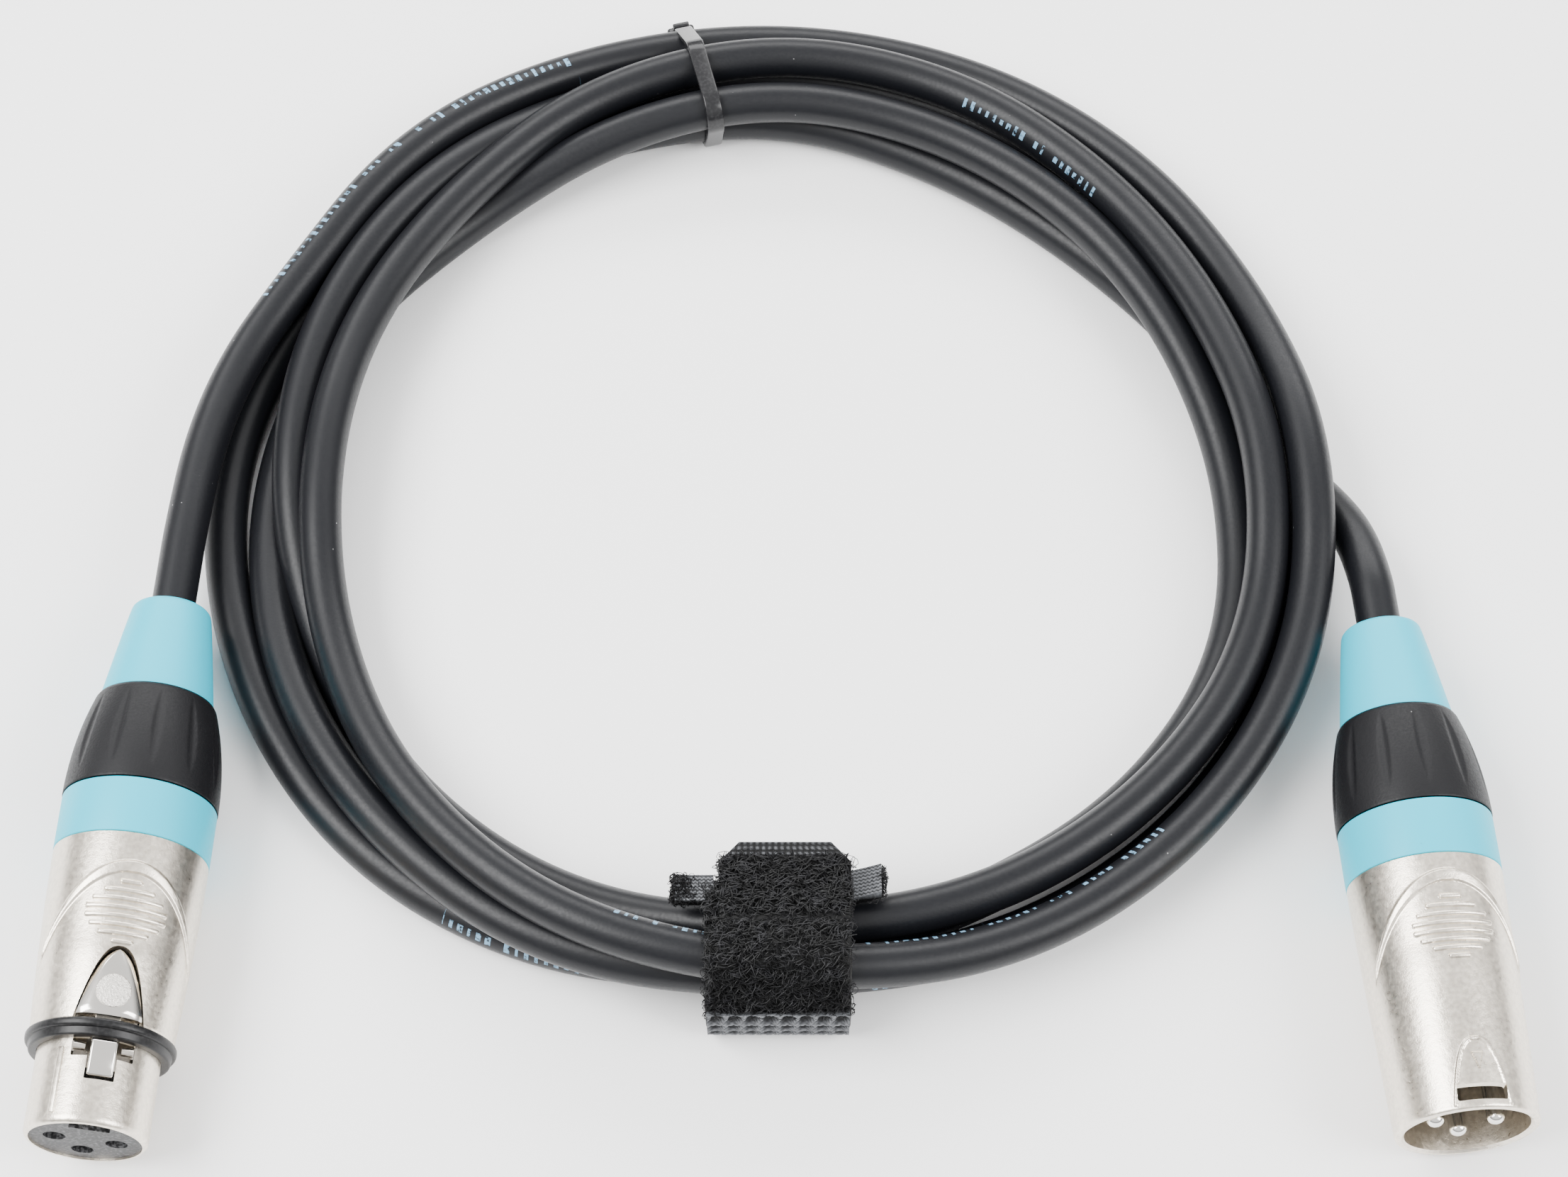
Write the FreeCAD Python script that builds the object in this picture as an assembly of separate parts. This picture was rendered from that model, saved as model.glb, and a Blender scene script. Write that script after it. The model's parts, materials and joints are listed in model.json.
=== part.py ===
import FreeCAD, Part
import math
import os

# XLR microphone cable, wound into a loose coil of four and a half turns, held by a zip tie
# at the back and a hook-and-loop wrap at the front. Millimetres, +X right, +Y to the back,
# +Z up. The origin is the middle of the whole object's footprint, on the surface it lies on.

V = FreeCAD.Vector

# ---- cable -------------------------------------------------------------------------------
CABLE_D = 6.0
CABLE_R = CABLE_D / 2
COIL_X, COIL_Y = -0.05, 9.2
STATIONS = 16
STEP = 360.0 / STATIONS

# Where each turn lies at the 16 stations, clockwise from the left: distance of the cable's
# centre from the middle of the coil, then its height above the surface.
TURN_RADII = [
    [81.3, 76.3, 76.7, 77.0, 77.3, 76.2, 73.5, 72.5, 74.0, 77.5, 78.5, 78.7, 77.3, 75.8, 71.3, 66.5],
    [63.8, 63.9, 65.0, 69.2, 71.0, 70.0, 66.6, 65.5, 67.9, 71.0, 70.9, 70.9, 69.8, 69.5, 69.3, 68.2],
    [68.8, 70.0, 70.7, 71.5, 71.3, 70.0, 69.5, 70.3, 72.0, 76.4, 76.3, 75.9, 76.2, 78.3, 76.1, 74.2],
    [71.8, 68.7, 63.8, 62.1, 62.7, 61.8, 60.8, 61.0, 64.2, 68.2, 68.6, 68.5, 72.4, 77.0, 79.7, 79.4],
    [78.8, 75.4, 69.8, 65.3, 63.5, 60.2, 59.6, 63.9, 72.6],
]
TURN_HEIGHTS = [
    [9.0, 9.0, 9.8, 6.0, 4.0, 4.5, 7.7, 9.0, 14.5, 9.4, 8.7, 9.0, 14.4, 14.3, 11.4, 8.8],
    [11.5, 10.2, 9.2, 9.5, 10.0, 9.2, 10.4, 12.3, 13.4, 8.6, 8.6, 9.2, 9.6, 3.4, 3.0, 3.0],
    [8.2, 8.9, 8.8, 4.2, 4.0, 3.2, 3.2, 3.6, 9.0, 3.4, 3.0, 3.5, 8.8, 8.9, 7.8, 5.0],
    [3.0, 3.0, 3.2, 8.6, 10.0, 8.9, 8.9, 8.5, 5.0, 3.2, 3.0, 3.5, 4.6, 3.0, 3.0, 3.0],
    [3.0, 3.0, 3.0, 3.5, 4.0, 3.0, 3.0, 3.0, 3.0],
]

# ---- connectors: stations along the axis from the boot's tip, and radii --------------------
SOCKET_AXIS_Z, PLUG_AXIS_Z = 10.55, 10.4
SOCKET_TIP = V(-83.55, -15.0, SOCKET_AXIS_Z)
SOCKET_SPLAY, SOCKET_ROLL = -3.5, 16.0
PLUG_TIP = V(82.6, -18.0, PLUG_AXIS_Z)
PLUG_SPLAY, PLUG_ROLL = 4.2, 4.0
BOOT_END = 14.5
BOOT_ROOT = 18.0
COLLAR_END = 29.4
SPIGOT_END = 35.4
RING_END = 37.3
PLUG_LENGTH = 71.8
SEAL_START, SEAL_END = 62.8, 65.0
SOCKET_LENGTH = 76.2
BOOT_TIP_R, BOOT_BASE_R = 5.35, 7.7
COLLAR_R = 10.4
RING_R = 10.3
SLEEVE_R = 10.25
SLEEVE_BORE_R = 8.1
SPIGOT_R = 8.03
SHELL_NECK_R = 8.9
PLUG_FRONT_R = 9.3
MOUTH_DEPTH = 15.5
INSERT_FACE = PLUG_LENGTH - MOUTH_DEPTH
WINDOW_START, WINDOW_END, WINDOW_HALF_W = 68.6, 70.7, 3.25
NOSE_R, NOSE_BORE_R = 7.95, 7.25
PIN_R, PIN_ROOT_R = 1.18, 1.6
PIN_SPACING = 3.96
CONTACT_R, CONTACT_BORE_R = 1.7, 1.2
ENTRY_R = 1.45
JACKET_END = 38.0
RUNNING_GAP = 0.05

# ---- latch ---------------------------------------------------------------------------------
LATCH_PIVOT_X, LATCH_PIVOT_Z = 51.5, 8.3
TAB_APEX_X, TAB_FRONT_X, TAB_HALF_W = 53.3, 62.2, 4.2
PAD_X, PAD_R = 59.0, 2.25
NUB_START, NUB_END, NUB_TOP, NUB_HALF_W = 65.5, 70.0, 9.2, 1.65
SLOT_END, CROSSBAR_END = 70.4, 67.4
EARS_X = 66.1
SLEEVE_FRONT_R = 9.3
KEYWAY_FLOOR = 4.2

# ---- ties ----------------------------------------------------------------------------------
TIE_ANGLE, TIE_WIDTH, TIE_THICK = 80.0, 2.5, 1.0
TIE_CORES = [(77.2, 4.0), (70.3, 9.9), (62.4, 9.7), (64.3, 4.0)]
WRAP_ANGLE, WRAP_WIDTH, WRAP_THICK = 270.0, 19.0, 1.6
WRAP_CORES = [(69.6, 4.6), (78.0, 4.6), (78.6, 9.8), (76.4, 14.2), (69.8, 10.4)]
HEAD_WIDTH, HEAD_LENGTH, HEAD_SLOPE = 27.0, 9.0, 58.0
HEAD_AT = (65.2, 12.2)
TAIL_LENGTH, TAIL_SLOPE = 6.2, 12.0
TAIL_HINGE = (68.4, 16.9)


# ---- general helpers -------------------------------------------------------------------------
def outline(points):
    """Closed wire in the XZ plane. (x, r) is reached by a straight edge; (x, r, mx, mr) by an
    arc through (mx, mr)."""
    edges = []
    last = V(points[-1][0], 0, points[-1][1])
    for point in points:
        here = V(point[0], 0, point[1])
        if len(point) == 4:
            edges.append(Part.Arc(last, V(point[2], 0, point[3]), here).toShape())
        else:
            edges.append(Part.makeLine(last, here))
        last = here
    return Part.Wire(edges)


def turned(points):
    """Solid of revolution of an outline about the X axis."""
    face = Part.Face(outline(points))
    return face.revolve(V(0, 0, 0), V(1, 0, 0), 360)


def rod(radius, start, end, y=0.0, z=0.0):
    return Part.makeCylinder(radius, end - start, V(start, y, z), V(1, 0, 0))


def block(x0, x1, y0, y1, z0, z1):
    return Part.makeBox(x1 - x0, y1 - y0, z1 - z0, V(x0, y0, z0))


def prism(points, z0, z1):
    """Upright prism on a polygon given in plan."""
    corners = [V(x, y, z0) for x, y in points]
    face = Part.Face(Part.makePolygon(corners + corners[:1]))
    return face.extrude(V(0, 0, z1 - z0))


def parabola(apex, front, half_width, count=9):
    """Points of a parabola in plan that opens forwards, from its left end to its right end."""
    points = []
    for i in range(count):
        u = 2.0 * i / (count - 1) - 1.0
        points.append((apex + (front - apex) * u * u, half_width * u))
    return points


def parabola_wall(apex, front, half_width, thick, z0, z1):
    """Thin upright wall that follows a parabola."""
    outer = parabola(apex - thick / 2, front, half_width + thick / 2)
    inner = parabola(apex + thick / 2, front, half_width - thick / 2)
    return prism(outer + inner[::-1], z0, z1)


def lie_down(shape, tip, splay, roll):
    """Take a connector piece from its own axis to its place on the surface."""
    placed = shape.copy()
    placed.rotate(V(0, 0, 0), V(1, 0, 0), -roll)
    placed.rotate(V(0, 0, 0), V(0, 0, 1), splay - 90.0)
    placed.translate(tip)
    return placed


def lay_socket(shape):
    return lie_down(shape, SOCKET_TIP, SOCKET_SPLAY, SOCKET_ROLL)


def lay_plug(shape):
    return lie_down(shape, PLUG_TIP, PLUG_SPLAY, PLUG_ROLL)


def keep(shape, node):
    solids = shape.Solids
    if not shape.isValid() or not solids:
        raise ValueError("bad shape: " + node)
    out = solids[0] if len(solids) == 1 else Part.makeCompound(solids)
    out.exportStep("parts/" + node + ".step")
    print("%-24s %d solid  %9.1f mm3" % (node, len(solids), shape.Volume))


# ---- pieces that both connectors have ---------------------------------------------------------
def boot():
    """Tapered rubber sleeve round the cable, with a soft edge at its tip."""
    bore_r = CABLE_R + 0.25
    return turned([
        (0.0, bore_r),
        (0.0, BOOT_TIP_R - 0.9),
        (0.9, BOOT_TIP_R, 0.25, BOOT_TIP_R - 0.25),
        (BOOT_END, BOOT_BASE_R, 7.5, 6.65),
        (BOOT_ROOT, BOOT_BASE_R),
        (BOOT_ROOT, 6.4),
        (12.0, 6.4),
        (9.0, bore_r),
    ])


def collar():
    """Screwed clamping collar: barrel-shaped grip with shallow flutes, and a threaded spigot."""
    grip_r = BOOT_BASE_R + RUNNING_GAP
    shape = turned([
        (BOOT_END, grip_r),
        (15.0, 8.35, 14.6, 8.15),
        (COLLAR_END, COLLAR_R - 0.1, 21.0, 10.0),
        (COLLAR_END, SPIGOT_R),
        (SPIGOT_END, SPIGOT_R),
        (SPIGOT_END, 7.1),
        (BOOT_ROOT + 0.3, 7.1),
        (BOOT_ROOT + 0.3, grip_r),
    ])
    flutes = 12
    for i in range(flutes):
        cutter = Part.makeSphere(1.0)
        cutter = cutter.transformGeometry(scaling(5.6, 1.25, 0.55))
        cutter.rotate(V(0, 0, 0), V(0, 1, 0), -6.0)
        cutter.translate(V(21.6, 0, 10.2))
        cutter.rotate(V(0, 0, 0), V(1, 0, 0), 360.0 * i / flutes)
        shape = shape.cut(cutter)
    for i in range(4):
        x = COLLAR_END + 1.0 + 1.25 * i
        groove = turned([(x, SPIGOT_R + 0.2), (x + 0.7, SPIGOT_R + 0.2), (x + 0.35, SPIGOT_R - 0.4)])
        shape = shape.cut(groove)
    return shape


def scaling(x, y, z):
    matrix = FreeCAD.Matrix()
    matrix.scale(x, y, z)
    return matrix


def colour_ring():
    """Coding ring pushed over the shell's neck."""
    return turned([
        (COLLAR_END + 0.1, SHELL_NECK_R),
        (COLLAR_END + 0.1, RING_R - 0.3),
        (COLLAR_END + 0.4, RING_R, COLLAR_END + 0.19, RING_R - 0.09),
        (RING_END - 0.2, RING_R),
        (RING_END, RING_R - 0.2),
        (RING_END, SHELL_NECK_R),
    ])


def chuck():
    """Plastic collet that grips the jacket, with four slots between its fingers."""
    shape = turned([
        (22.0, CABLE_R),
        (22.0, 4.4),
        (27.0, 6.6),
        (40.0, 6.6),
        (40.0, CABLE_R),
    ])
    for angle in (0, 90):
        slot = block(21.0, 31.0, -7.5, 7.5, -0.5, 0.5)
        slot.rotate(V(0, 0, 0), V(1, 0, 0), angle + 45)
        shape = shape.cut(slot)
    return shape


def jacket_end():
    """Cut end of the cable inside the connector."""
    return rod(CABLE_R, 0.0, JACKET_END)


def contact_places():
    return [(-PIN_SPACING, 0.0), (PIN_SPACING, 0.0), (0.0, -PIN_SPACING)]


def wire(index, cup_x):
    """One core of the cable, from the jacket's end to its solder cup."""
    core_r = 0.75
    y, z = contact_places()[index]
    start = V(JACKET_END, 0.35 * y, 0.35 * z)
    knee = V(JACKET_END + 2.0, 0.35 * y, 0.35 * z)
    bend = V(cup_x - 2.0, y, z)
    end = V(cup_x, y, z)
    path = [start, knee, bend, end]
    shape = Part.makeCylinder(core_r, (knee - start).Length, start, knee - start)
    for a, b in zip(path[1:], path[2:]):
        shape = shape.fuse(Part.makeCylinder(core_r, (b - a).Length, a, b - a))
        shape = shape.fuse(Part.makeSphere(core_r, a))
    return shape.removeSplitter()


def relief(skin, shape, features):
    """Raise features on a shell: each is kept only inside the skin over the shell's surface."""
    for feature in features:
        shape = shape.fuse(feature.common(skin))
    return shape


def grip_ribs(middle, z0, z1):
    """Eight short ribs across the sleeve that make an oval thumb grip."""
    ribs = []
    count, pitch, width = 8, 1.18, 0.5
    for i in range(count):
        u = (i - (count - 1) / 2.0) / (count / 2.0)
        half = 5.5 * (1.0 - abs(u) ** 1.8)
        x = middle + pitch * (i - (count - 1) / 2.0)
        ribs.append(block(x - width / 2, x + width / 2, -half, half, z0, z1))
    return ribs


def sleeve_skin(front_x, front_r, height):
    """Thin layer over a sleeve, on its upper half."""
    inner = 0.3
    skin = turned([
        (RING_END, SLEEVE_R - inner),
        (RING_END, SLEEVE_R + height),
        (front_x, front_r + height),
        (front_x, front_r - inner),
    ])
    return skin.common(block(RING_END - 1, front_x + 1, -12, 12, 1.0, 14))


# ---- plug (male connector) ----------------------------------------------------------------------
def plug_shell():
    """Die-cast barrel with a neck for the ring, an oval grip, a latch window and raised lines."""
    shape = turned([
        (COLLAR_END + 0.1, SLEEVE_BORE_R),
        (COLLAR_END + 0.1, SHELL_NECK_R),
        (RING_END, SHELL_NECK_R),
        (RING_END, SLEEVE_R - 0.2),
        (RING_END + 0.2, SLEEVE_R),
        (50.0, 10.1),
        (PLUG_LENGTH - 0.3, PLUG_FRONT_R, 62.0, 9.83),
        (PLUG_LENGTH, PLUG_FRONT_R - 0.3, PLUG_LENGTH - 0.09, PLUG_FRONT_R - 0.09),
        (PLUG_LENGTH, SLEEVE_BORE_R + 0.15),
        (PLUG_LENGTH - 0.3, SLEEVE_BORE_R),
    ])
    skin = sleeve_skin(PLUG_LENGTH - 0.4, PLUG_FRONT_R, 0.28)
    lines = [
        parabola_wall(40.7, 51.0, 7.6, 0.9, 1.0, 14.0),
        parabola_wall(62.7, 71.4, 4.1, 0.42, 5.0, 14.0),
        prism([(64.6, -0.75), (64.6, 0.75), (66.8, 0.0)], 5.0, 14.0),
    ]
    shape = relief(skin, shape, lines + grip_ribs(47.5, 5.0, 14.0))
    window = block(WINDOW_START, WINDOW_END, -WINDOW_HALF_W, WINDOW_HALF_W, 5.0, 12.0)
    return shape.cut(window)


def plug_insert():
    """Moulded disc that carries the pins, with a stub behind it."""
    shape = turned([(49.0, 0.0), (49.0, 6.8), (52.0, 6.8), (52.0, SLEEVE_BORE_R),
                    (INSERT_FACE, SLEEVE_BORE_R), (INSERT_FACE, 0.0)])
    for y, z in contact_places():
        shape = shape.cut(rod(PIN_ROOT_R, 48.0, INSERT_FACE + 1.0, y, z))
    return shape


def pin(index):
    """Pin with a round tip, a thicker root in the insert and a solder cup."""
    tip_x = PLUG_LENGTH - 0.9
    shape = turned([
        (45.0, 0.85), (45.0, PIN_ROOT_R), (INSERT_FACE, PIN_ROOT_R), (INSERT_FACE, PIN_R),
        (tip_x - 1.0, PIN_R),
        (tip_x, 0.3, tip_x - 0.27, 0.88),
        (tip_x, 0.0), (48.0, 0.0), (48.0, 0.85),
    ])
    y, z = contact_places()[index]
    shape.translate(V(0, y, z))
    return shape


# ---- socket (female connector) ------------------------------------------------------------------
def latch_opening():
    """Room in the sleeve for the latch's tab, and the T-shaped slot in the nose."""
    gap = 0.3
    tab = prism(parabola(TAB_APEX_X - gap, SEAL_START - 0.4, TAB_HALF_W + gap), 6.0, 13.0)
    tab = tab.fuse(block(SEAL_START - 1.4, SEAL_START + 0.2, -TAB_HALF_W, TAB_HALF_W, 6.6, 13.0))
    arm = block(59.4, SLOT_END, -NUB_HALF_W - 0.2, NUB_HALF_W + 0.2, 5.5, 9.5)
    crossbar = block(SEAL_END - 0.1, CROSSBAR_END, -3.95, 3.95, 5.5, 9.5)
    return tab.fuse(arm).fuse(crossbar)


def socket_shell():
    """Die-cast sleeve and nose in one, with the latch's openings and a guide rib."""
    shape = turned([
        (COLLAR_END + 0.1, SLEEVE_BORE_R),
        (COLLAR_END + 0.1, SHELL_NECK_R),
        (RING_END, SHELL_NECK_R),
        (RING_END, SLEEVE_R - 0.2),
        (RING_END + 0.2, SLEEVE_R),
        (48.0, 10.1),
        (SEAL_START, SLEEVE_FRONT_R),
        (SEAL_START, NOSE_R),
        (SOCKET_LENGTH - 0.6, NOSE_R),
        (SOCKET_LENGTH, NOSE_R - 0.45, SOCKET_LENGTH - 0.15, NOSE_R - 0.12),
        (SOCKET_LENGTH, NOSE_BORE_R),
        (56.0, NOSE_BORE_R),
        (56.0, SLEEVE_BORE_R),
    ])
    skin = sleeve_skin(SEAL_START - 0.2, 9.75, 0.28)
    lines = [parabola_wall(42.2, 51.5, 7.6, 0.9, 1.0, 14.0)]
    shape = relief(skin, shape, lines + grip_ribs(48.3, 5.0, 14.0))
    rib = block(66.2, 75.0, -0.45, 0.45, 7.6, NOSE_R + 0.22)
    rib.rotate(V(0, 0, 0), V(1, 0, 0), 40)
    shape = shape.fuse(rib)
    return shape.cut(latch_opening())


def socket_insert():
    """Moulded contact carrier with a keyway along its top."""
    shape = rod(NOSE_BORE_R, 56.2, SOCKET_LENGTH - 0.3)
    shape = shape.cut(block(56.0, 68.5, -4.1, 4.1, KEYWAY_FLOOR, 8.0))
    shape = shape.cut(block(67.9, 77.0, -2.6, 2.6, KEYWAY_FLOOR, 8.0))
    for y, z in contact_places():
        shape = shape.cut(rod(CONTACT_R, 56.0, 73.5, y, z))
        shape = shape.cut(rod(ENTRY_R, 73.0, 77.0, y, z))
    return shape


def contact(index):
    """Spring tube that takes a pin, with a solder cup behind it."""
    shape = turned([
        (53.0, 0.9), (53.0, 1.35), (57.0, 1.35), (57.0, CONTACT_R), (73.5, CONTACT_R),
        (73.5, CONTACT_BORE_R), (59.5, CONTACT_BORE_R), (59.5, 0.0), (56.0, 0.0), (56.0, 0.9),
    ])
    y, z = contact_places()[index]
    shape.translate(V(0, y, z))
    return shape


def latch():
    """Push tab, arm and nub in one. It turns about its rear end and its nub drops clear."""
    tab = prism(parabola(TAB_APEX_X, TAB_FRONT_X, TAB_HALF_W), 8.0, 13.0)
    tab = tab.common(rod(9.45, 46.0, 64.0))
    arm_side = [
        (59.9, 7.3), (59.9, 8.6), (61.9, 8.6), (62.8, 7.3), (NUB_START, 7.3),
        (NUB_START, NUB_TOP - 0.35), (NUB_START + 0.35, NUB_TOP),
        (NUB_END - 1.6, NUB_TOP), (NUB_END, 7.6), (NUB_END, 6.8), (NUB_START, 6.3), (61.9, 6.3),
    ]
    corners = [V(x, -NUB_HALF_W, z) for x, z in arm_side]
    arm = Part.Face(Part.makePolygon(corners + corners[:1])).extrude(V(0, 2 * NUB_HALF_W, 0))
    pad = Part.makeCylinder(PAD_R, 2.0, V(PAD_X, 0, 7.9))
    pad = pad.common(rod(9.7, 46.0, 64.0))
    shape = tab.fuse(arm).fuse(pad)
    return shape.removeSplitter()


def latch_spring():
    """Bent strip on the keyway's floor, with two ears beside the nub."""
    strip = 0.3
    floor = KEYWAY_FLOOR
    shape = block(59.9, 67.9, -3.9, 3.9, floor, floor + strip)
    for side in (-1, 1):
        low, high = sorted((side * 3.6, side * 3.9))
        shape = shape.fuse(block(EARS_X - 0.7, EARS_X + 0.7, low, high, floor, 6.9))
        low, high = sorted((side * 2.3, side * 3.8))
        ear = rod(0.55, low, high)
        ear.rotate(V(0, 0, 0), V(0, 0, 1), 90)
        ear.translate(V(EARS_X, 0, 7.2))
        shape = shape.fuse(ear)
    return shape


def seal_ring():
    """Rubber ring against rattle, with two lips."""
    return turned([
        (SEAL_START, NOSE_R + 0.05),
        (SEAL_START, 9.5),
        (SEAL_START + 0.55, 9.8, SEAL_START + 0.15, 9.7),
        (SEAL_START + 1.15, 9.35, SEAL_START + 0.95, 9.68),
        (SEAL_START + 1.5, 9.3),
        (SEAL_END, 8.95, SEAL_END - 0.15, 9.25),
        (SEAL_END, NOSE_R + 0.05),
    ])


# ---- cable ----------------------------------------------------------------------------------------
def on_coil(radius, angle, height):
    a = math.radians(angle)
    return V(COIL_X - radius * math.cos(a), COIL_Y + radius * math.sin(a), height)


def strands_at(station):
    """(radius, height) of every turn that passes a station of the coil."""
    found = []
    for turn, (radii, heights) in enumerate(zip(TURN_RADII, TURN_HEIGHTS)):
        lead_in = turn == 0 and station == 0
        if station < len(radii) and not lead_in:
            found.append((radii[station], heights[station]))
    return found


def coil_section(station):
    """Eight-sided section round the turns at one station: flat below, stepped down outwards."""
    strands = strands_at(station)
    inner = min(r for r, z in strands) - CABLE_R
    outer = max(r for r, z in strands) + CABLE_R
    top = max(z for r, z in strands) + CABLE_R
    near = 1.2 * CABLE_D
    inner_top = max(z for r, z in strands if r < inner + near) + CABLE_R
    outer_top = max(z for r, z in strands if r > outer - near) + CABLE_R
    crown = [r for r, z in strands if z + CABLE_R == top][0]
    bevel = 1.2
    points = [
        (inner + bevel, 0.0), (outer - bevel, 0.0), (outer, bevel), (outer, 0.62 * outer_top),
        (max(crown + 2.0, outer - 4.5), outer_top), (crown, top + 0.01),
        (inner + 2.2, min(inner_top, top - 0.4)), (inner, 0.6 * inner_top),
    ]
    return [on_coil(r, STEP * station, z) for r, z in points]


def cable_coil():
    """Closed ring of flat triangles through the sections: the outer shape of all the turns."""
    sections = [coil_section(i) for i in range(STATIONS)]
    faces = []
    for i, here in enumerate(sections):
        there = sections[(i + 1) % STATIONS]
        for j in range(len(here)):
            k = (j + 1) % len(here)
            for corners in ((here[j], here[k], there[k]), (here[j], there[k], there[j])):
                faces.append(Part.Face(Part.makePolygon(list(corners) + [corners[0]])))
    solid = Part.makeSolid(Part.makeShell(faces))
    if solid.Volume < 0:
        solid.reverse()
    return solid


def tube(points):
    """Round tube along straight runs joined by tangent arcs, with the radii printed."""
    edges = []
    start = points[0]
    for before, corner, after in zip(points, points[1:], points[2:]):
        back = (before - corner)
        ahead = (after - corner)
        half_turn = (math.pi - back.getAngle(ahead)) / 2
        reach = 0.45 * min(back.Length, ahead.Length)
        radius = reach / math.tan(half_turn)
        print("   arc radius %.1f" % radius)
        a = corner + back.normalize() * reach
        b = corner + ahead.normalize() * reach
        middle = (a + b) * 0.5 - corner
        depth = radius / math.cos(half_turn) - radius
        via = corner + middle.normalize() * depth
        edges.append(Part.LineSegment(start, a).toShape())
        edges.append(Part.Arc(a, via, b).toShape())
        start = b
    edges.append(Part.LineSegment(start, points[-1]).toShape())
    spine = Part.Wire(edges)
    direction = points[1] - points[0]
    section = Part.Wire([Part.makeCircle(CABLE_R, points[0], direction)])
    shape = spine.makePipeShell([section], True, False)
    length = spine.Length
    print("   length %.1f, volume ratio %.4f" % (length, shape.Volume / (length * math.pi * CABLE_R ** 2)))
    return shape


def behind(tip, splay, distance, height):
    """Point on a connector's axis, behind its boot."""
    a = math.radians(splay)
    return V(tip.x - distance * math.sin(a), tip.y + distance * math.cos(a), height)


def cable_lead_socket():
    """From the socket's boot, over the lowest turn and on to the outermost one."""
    return tube([
        SOCKET_TIP,
        behind(SOCKET_TIP, SOCKET_SPLAY, 13.0, SOCKET_AXIS_Z),
        V(-81.35, 12.6, 9.9),
        V(-77.85, 25.6, 9.2),
        V(-71.85, 37.4, 9.0),
    ])


def cable_lead_plug():
    """From the plug's boot back to where the cable comes out from under the coil."""
    return tube([
        PLUG_TIP,
        behind(PLUG_TIP, PLUG_SPLAY, 8.3, PLUG_AXIS_Z),
        V(80.75, -1.6, 8.1),
        V(77.75, 5.5, 4.9),
        V(73.15, 11.6, 3.0),
    ])


# ---- ties -----------------------------------------------------------------------------------------
def belt(cores, thick, width):
    """Band of even thickness pulled round a bundle of cable, given the cable centres."""
    corners = [V(r, 0, z) for r, z in cores]
    wire_round = Part.makePolygon(corners + corners[:1])
    inner = wire_round.makeOffset2D(CABLE_R)
    outer = wire_round.makeOffset2D(CABLE_R + thick)
    band = Part.Face(outer).extrude(V(0, width, 0)).cut(Part.Face(inner).extrude(V(0, width, 0)))
    band.translate(V(0, -width / 2, 0))
    return band


def at_angle(shape, angle):
    """Swing a piece made along +X out to a station of the coil."""
    placed = shape.copy()
    placed.rotate(V(0, 0, 0), V(0, 0, 1), 180.0 - angle)
    placed.translate(V(COIL_X, COIL_Y, 0))
    return placed


def zip_tie():
    """Nylon tie pulled tight, its head low at the back and its end cut off short."""
    band = belt(TIE_CORES, TIE_THICK, TIE_WIDTH)
    head = block(80.0, 82.7, -2.1, 2.1, 0.3, 4.0)
    stub = block(81.3, 82.2, -TIE_WIDTH / 2, TIE_WIDTH / 2, 4.0, 5.4)
    return at_angle(band.fuse(head).fuse(stub), TIE_ANGLE)


def wrap_band():
    """Hook-and-loop strap round the front bundle."""
    return at_angle(belt(WRAP_CORES, WRAP_THICK, WRAP_WIDTH), WRAP_ANGLE)


def wrap_head():
    """Wider slotted end of the strap, lying on the bundle's inner shoulder."""
    half = HEAD_LENGTH / 2
    plate = block(-half, half, -HEAD_WIDTH / 2, HEAD_WIDTH / 2, 0.0, 1.3)
    plate = plate.makeFillet(2.2, [e for e in plate.Edges if abs(e.tangentAt(e.FirstParameter).z) > 0.9])
    slot_half = WRAP_WIDTH / 2 + 0.5
    plate = plate.cut(block(-1.3, 1.3, -slot_half, slot_half, -1.0, 2.0))
    plate.rotate(V(0, 0, 0), V(0, 1, 0), -HEAD_SLOPE)
    plate.translate(V(HEAD_AT[0], 0, HEAD_AT[1]))
    return at_angle(plate, WRAP_ANGLE)


def wrap_tail():
    """Free end of the strap, standing proud with clipped corners."""
    half = WRAP_WIDTH / 2
    clip = 2.6
    points = [(0.0, -half), (0.0, half), (-TAIL_LENGTH + clip, half), (-TAIL_LENGTH, half - clip),
              (-TAIL_LENGTH, clip - half), (-TAIL_LENGTH + clip, -half)]
    flap = prism(points, 0.0, WRAP_THICK)
    flap.rotate(V(0, 0, 0), V(0, 1, 0), TAIL_SLOPE)
    flap.translate(V(TAIL_HINGE[0], 0, TAIL_HINGE[1]))
    return at_angle(flap, WRAP_ANGLE)


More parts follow.
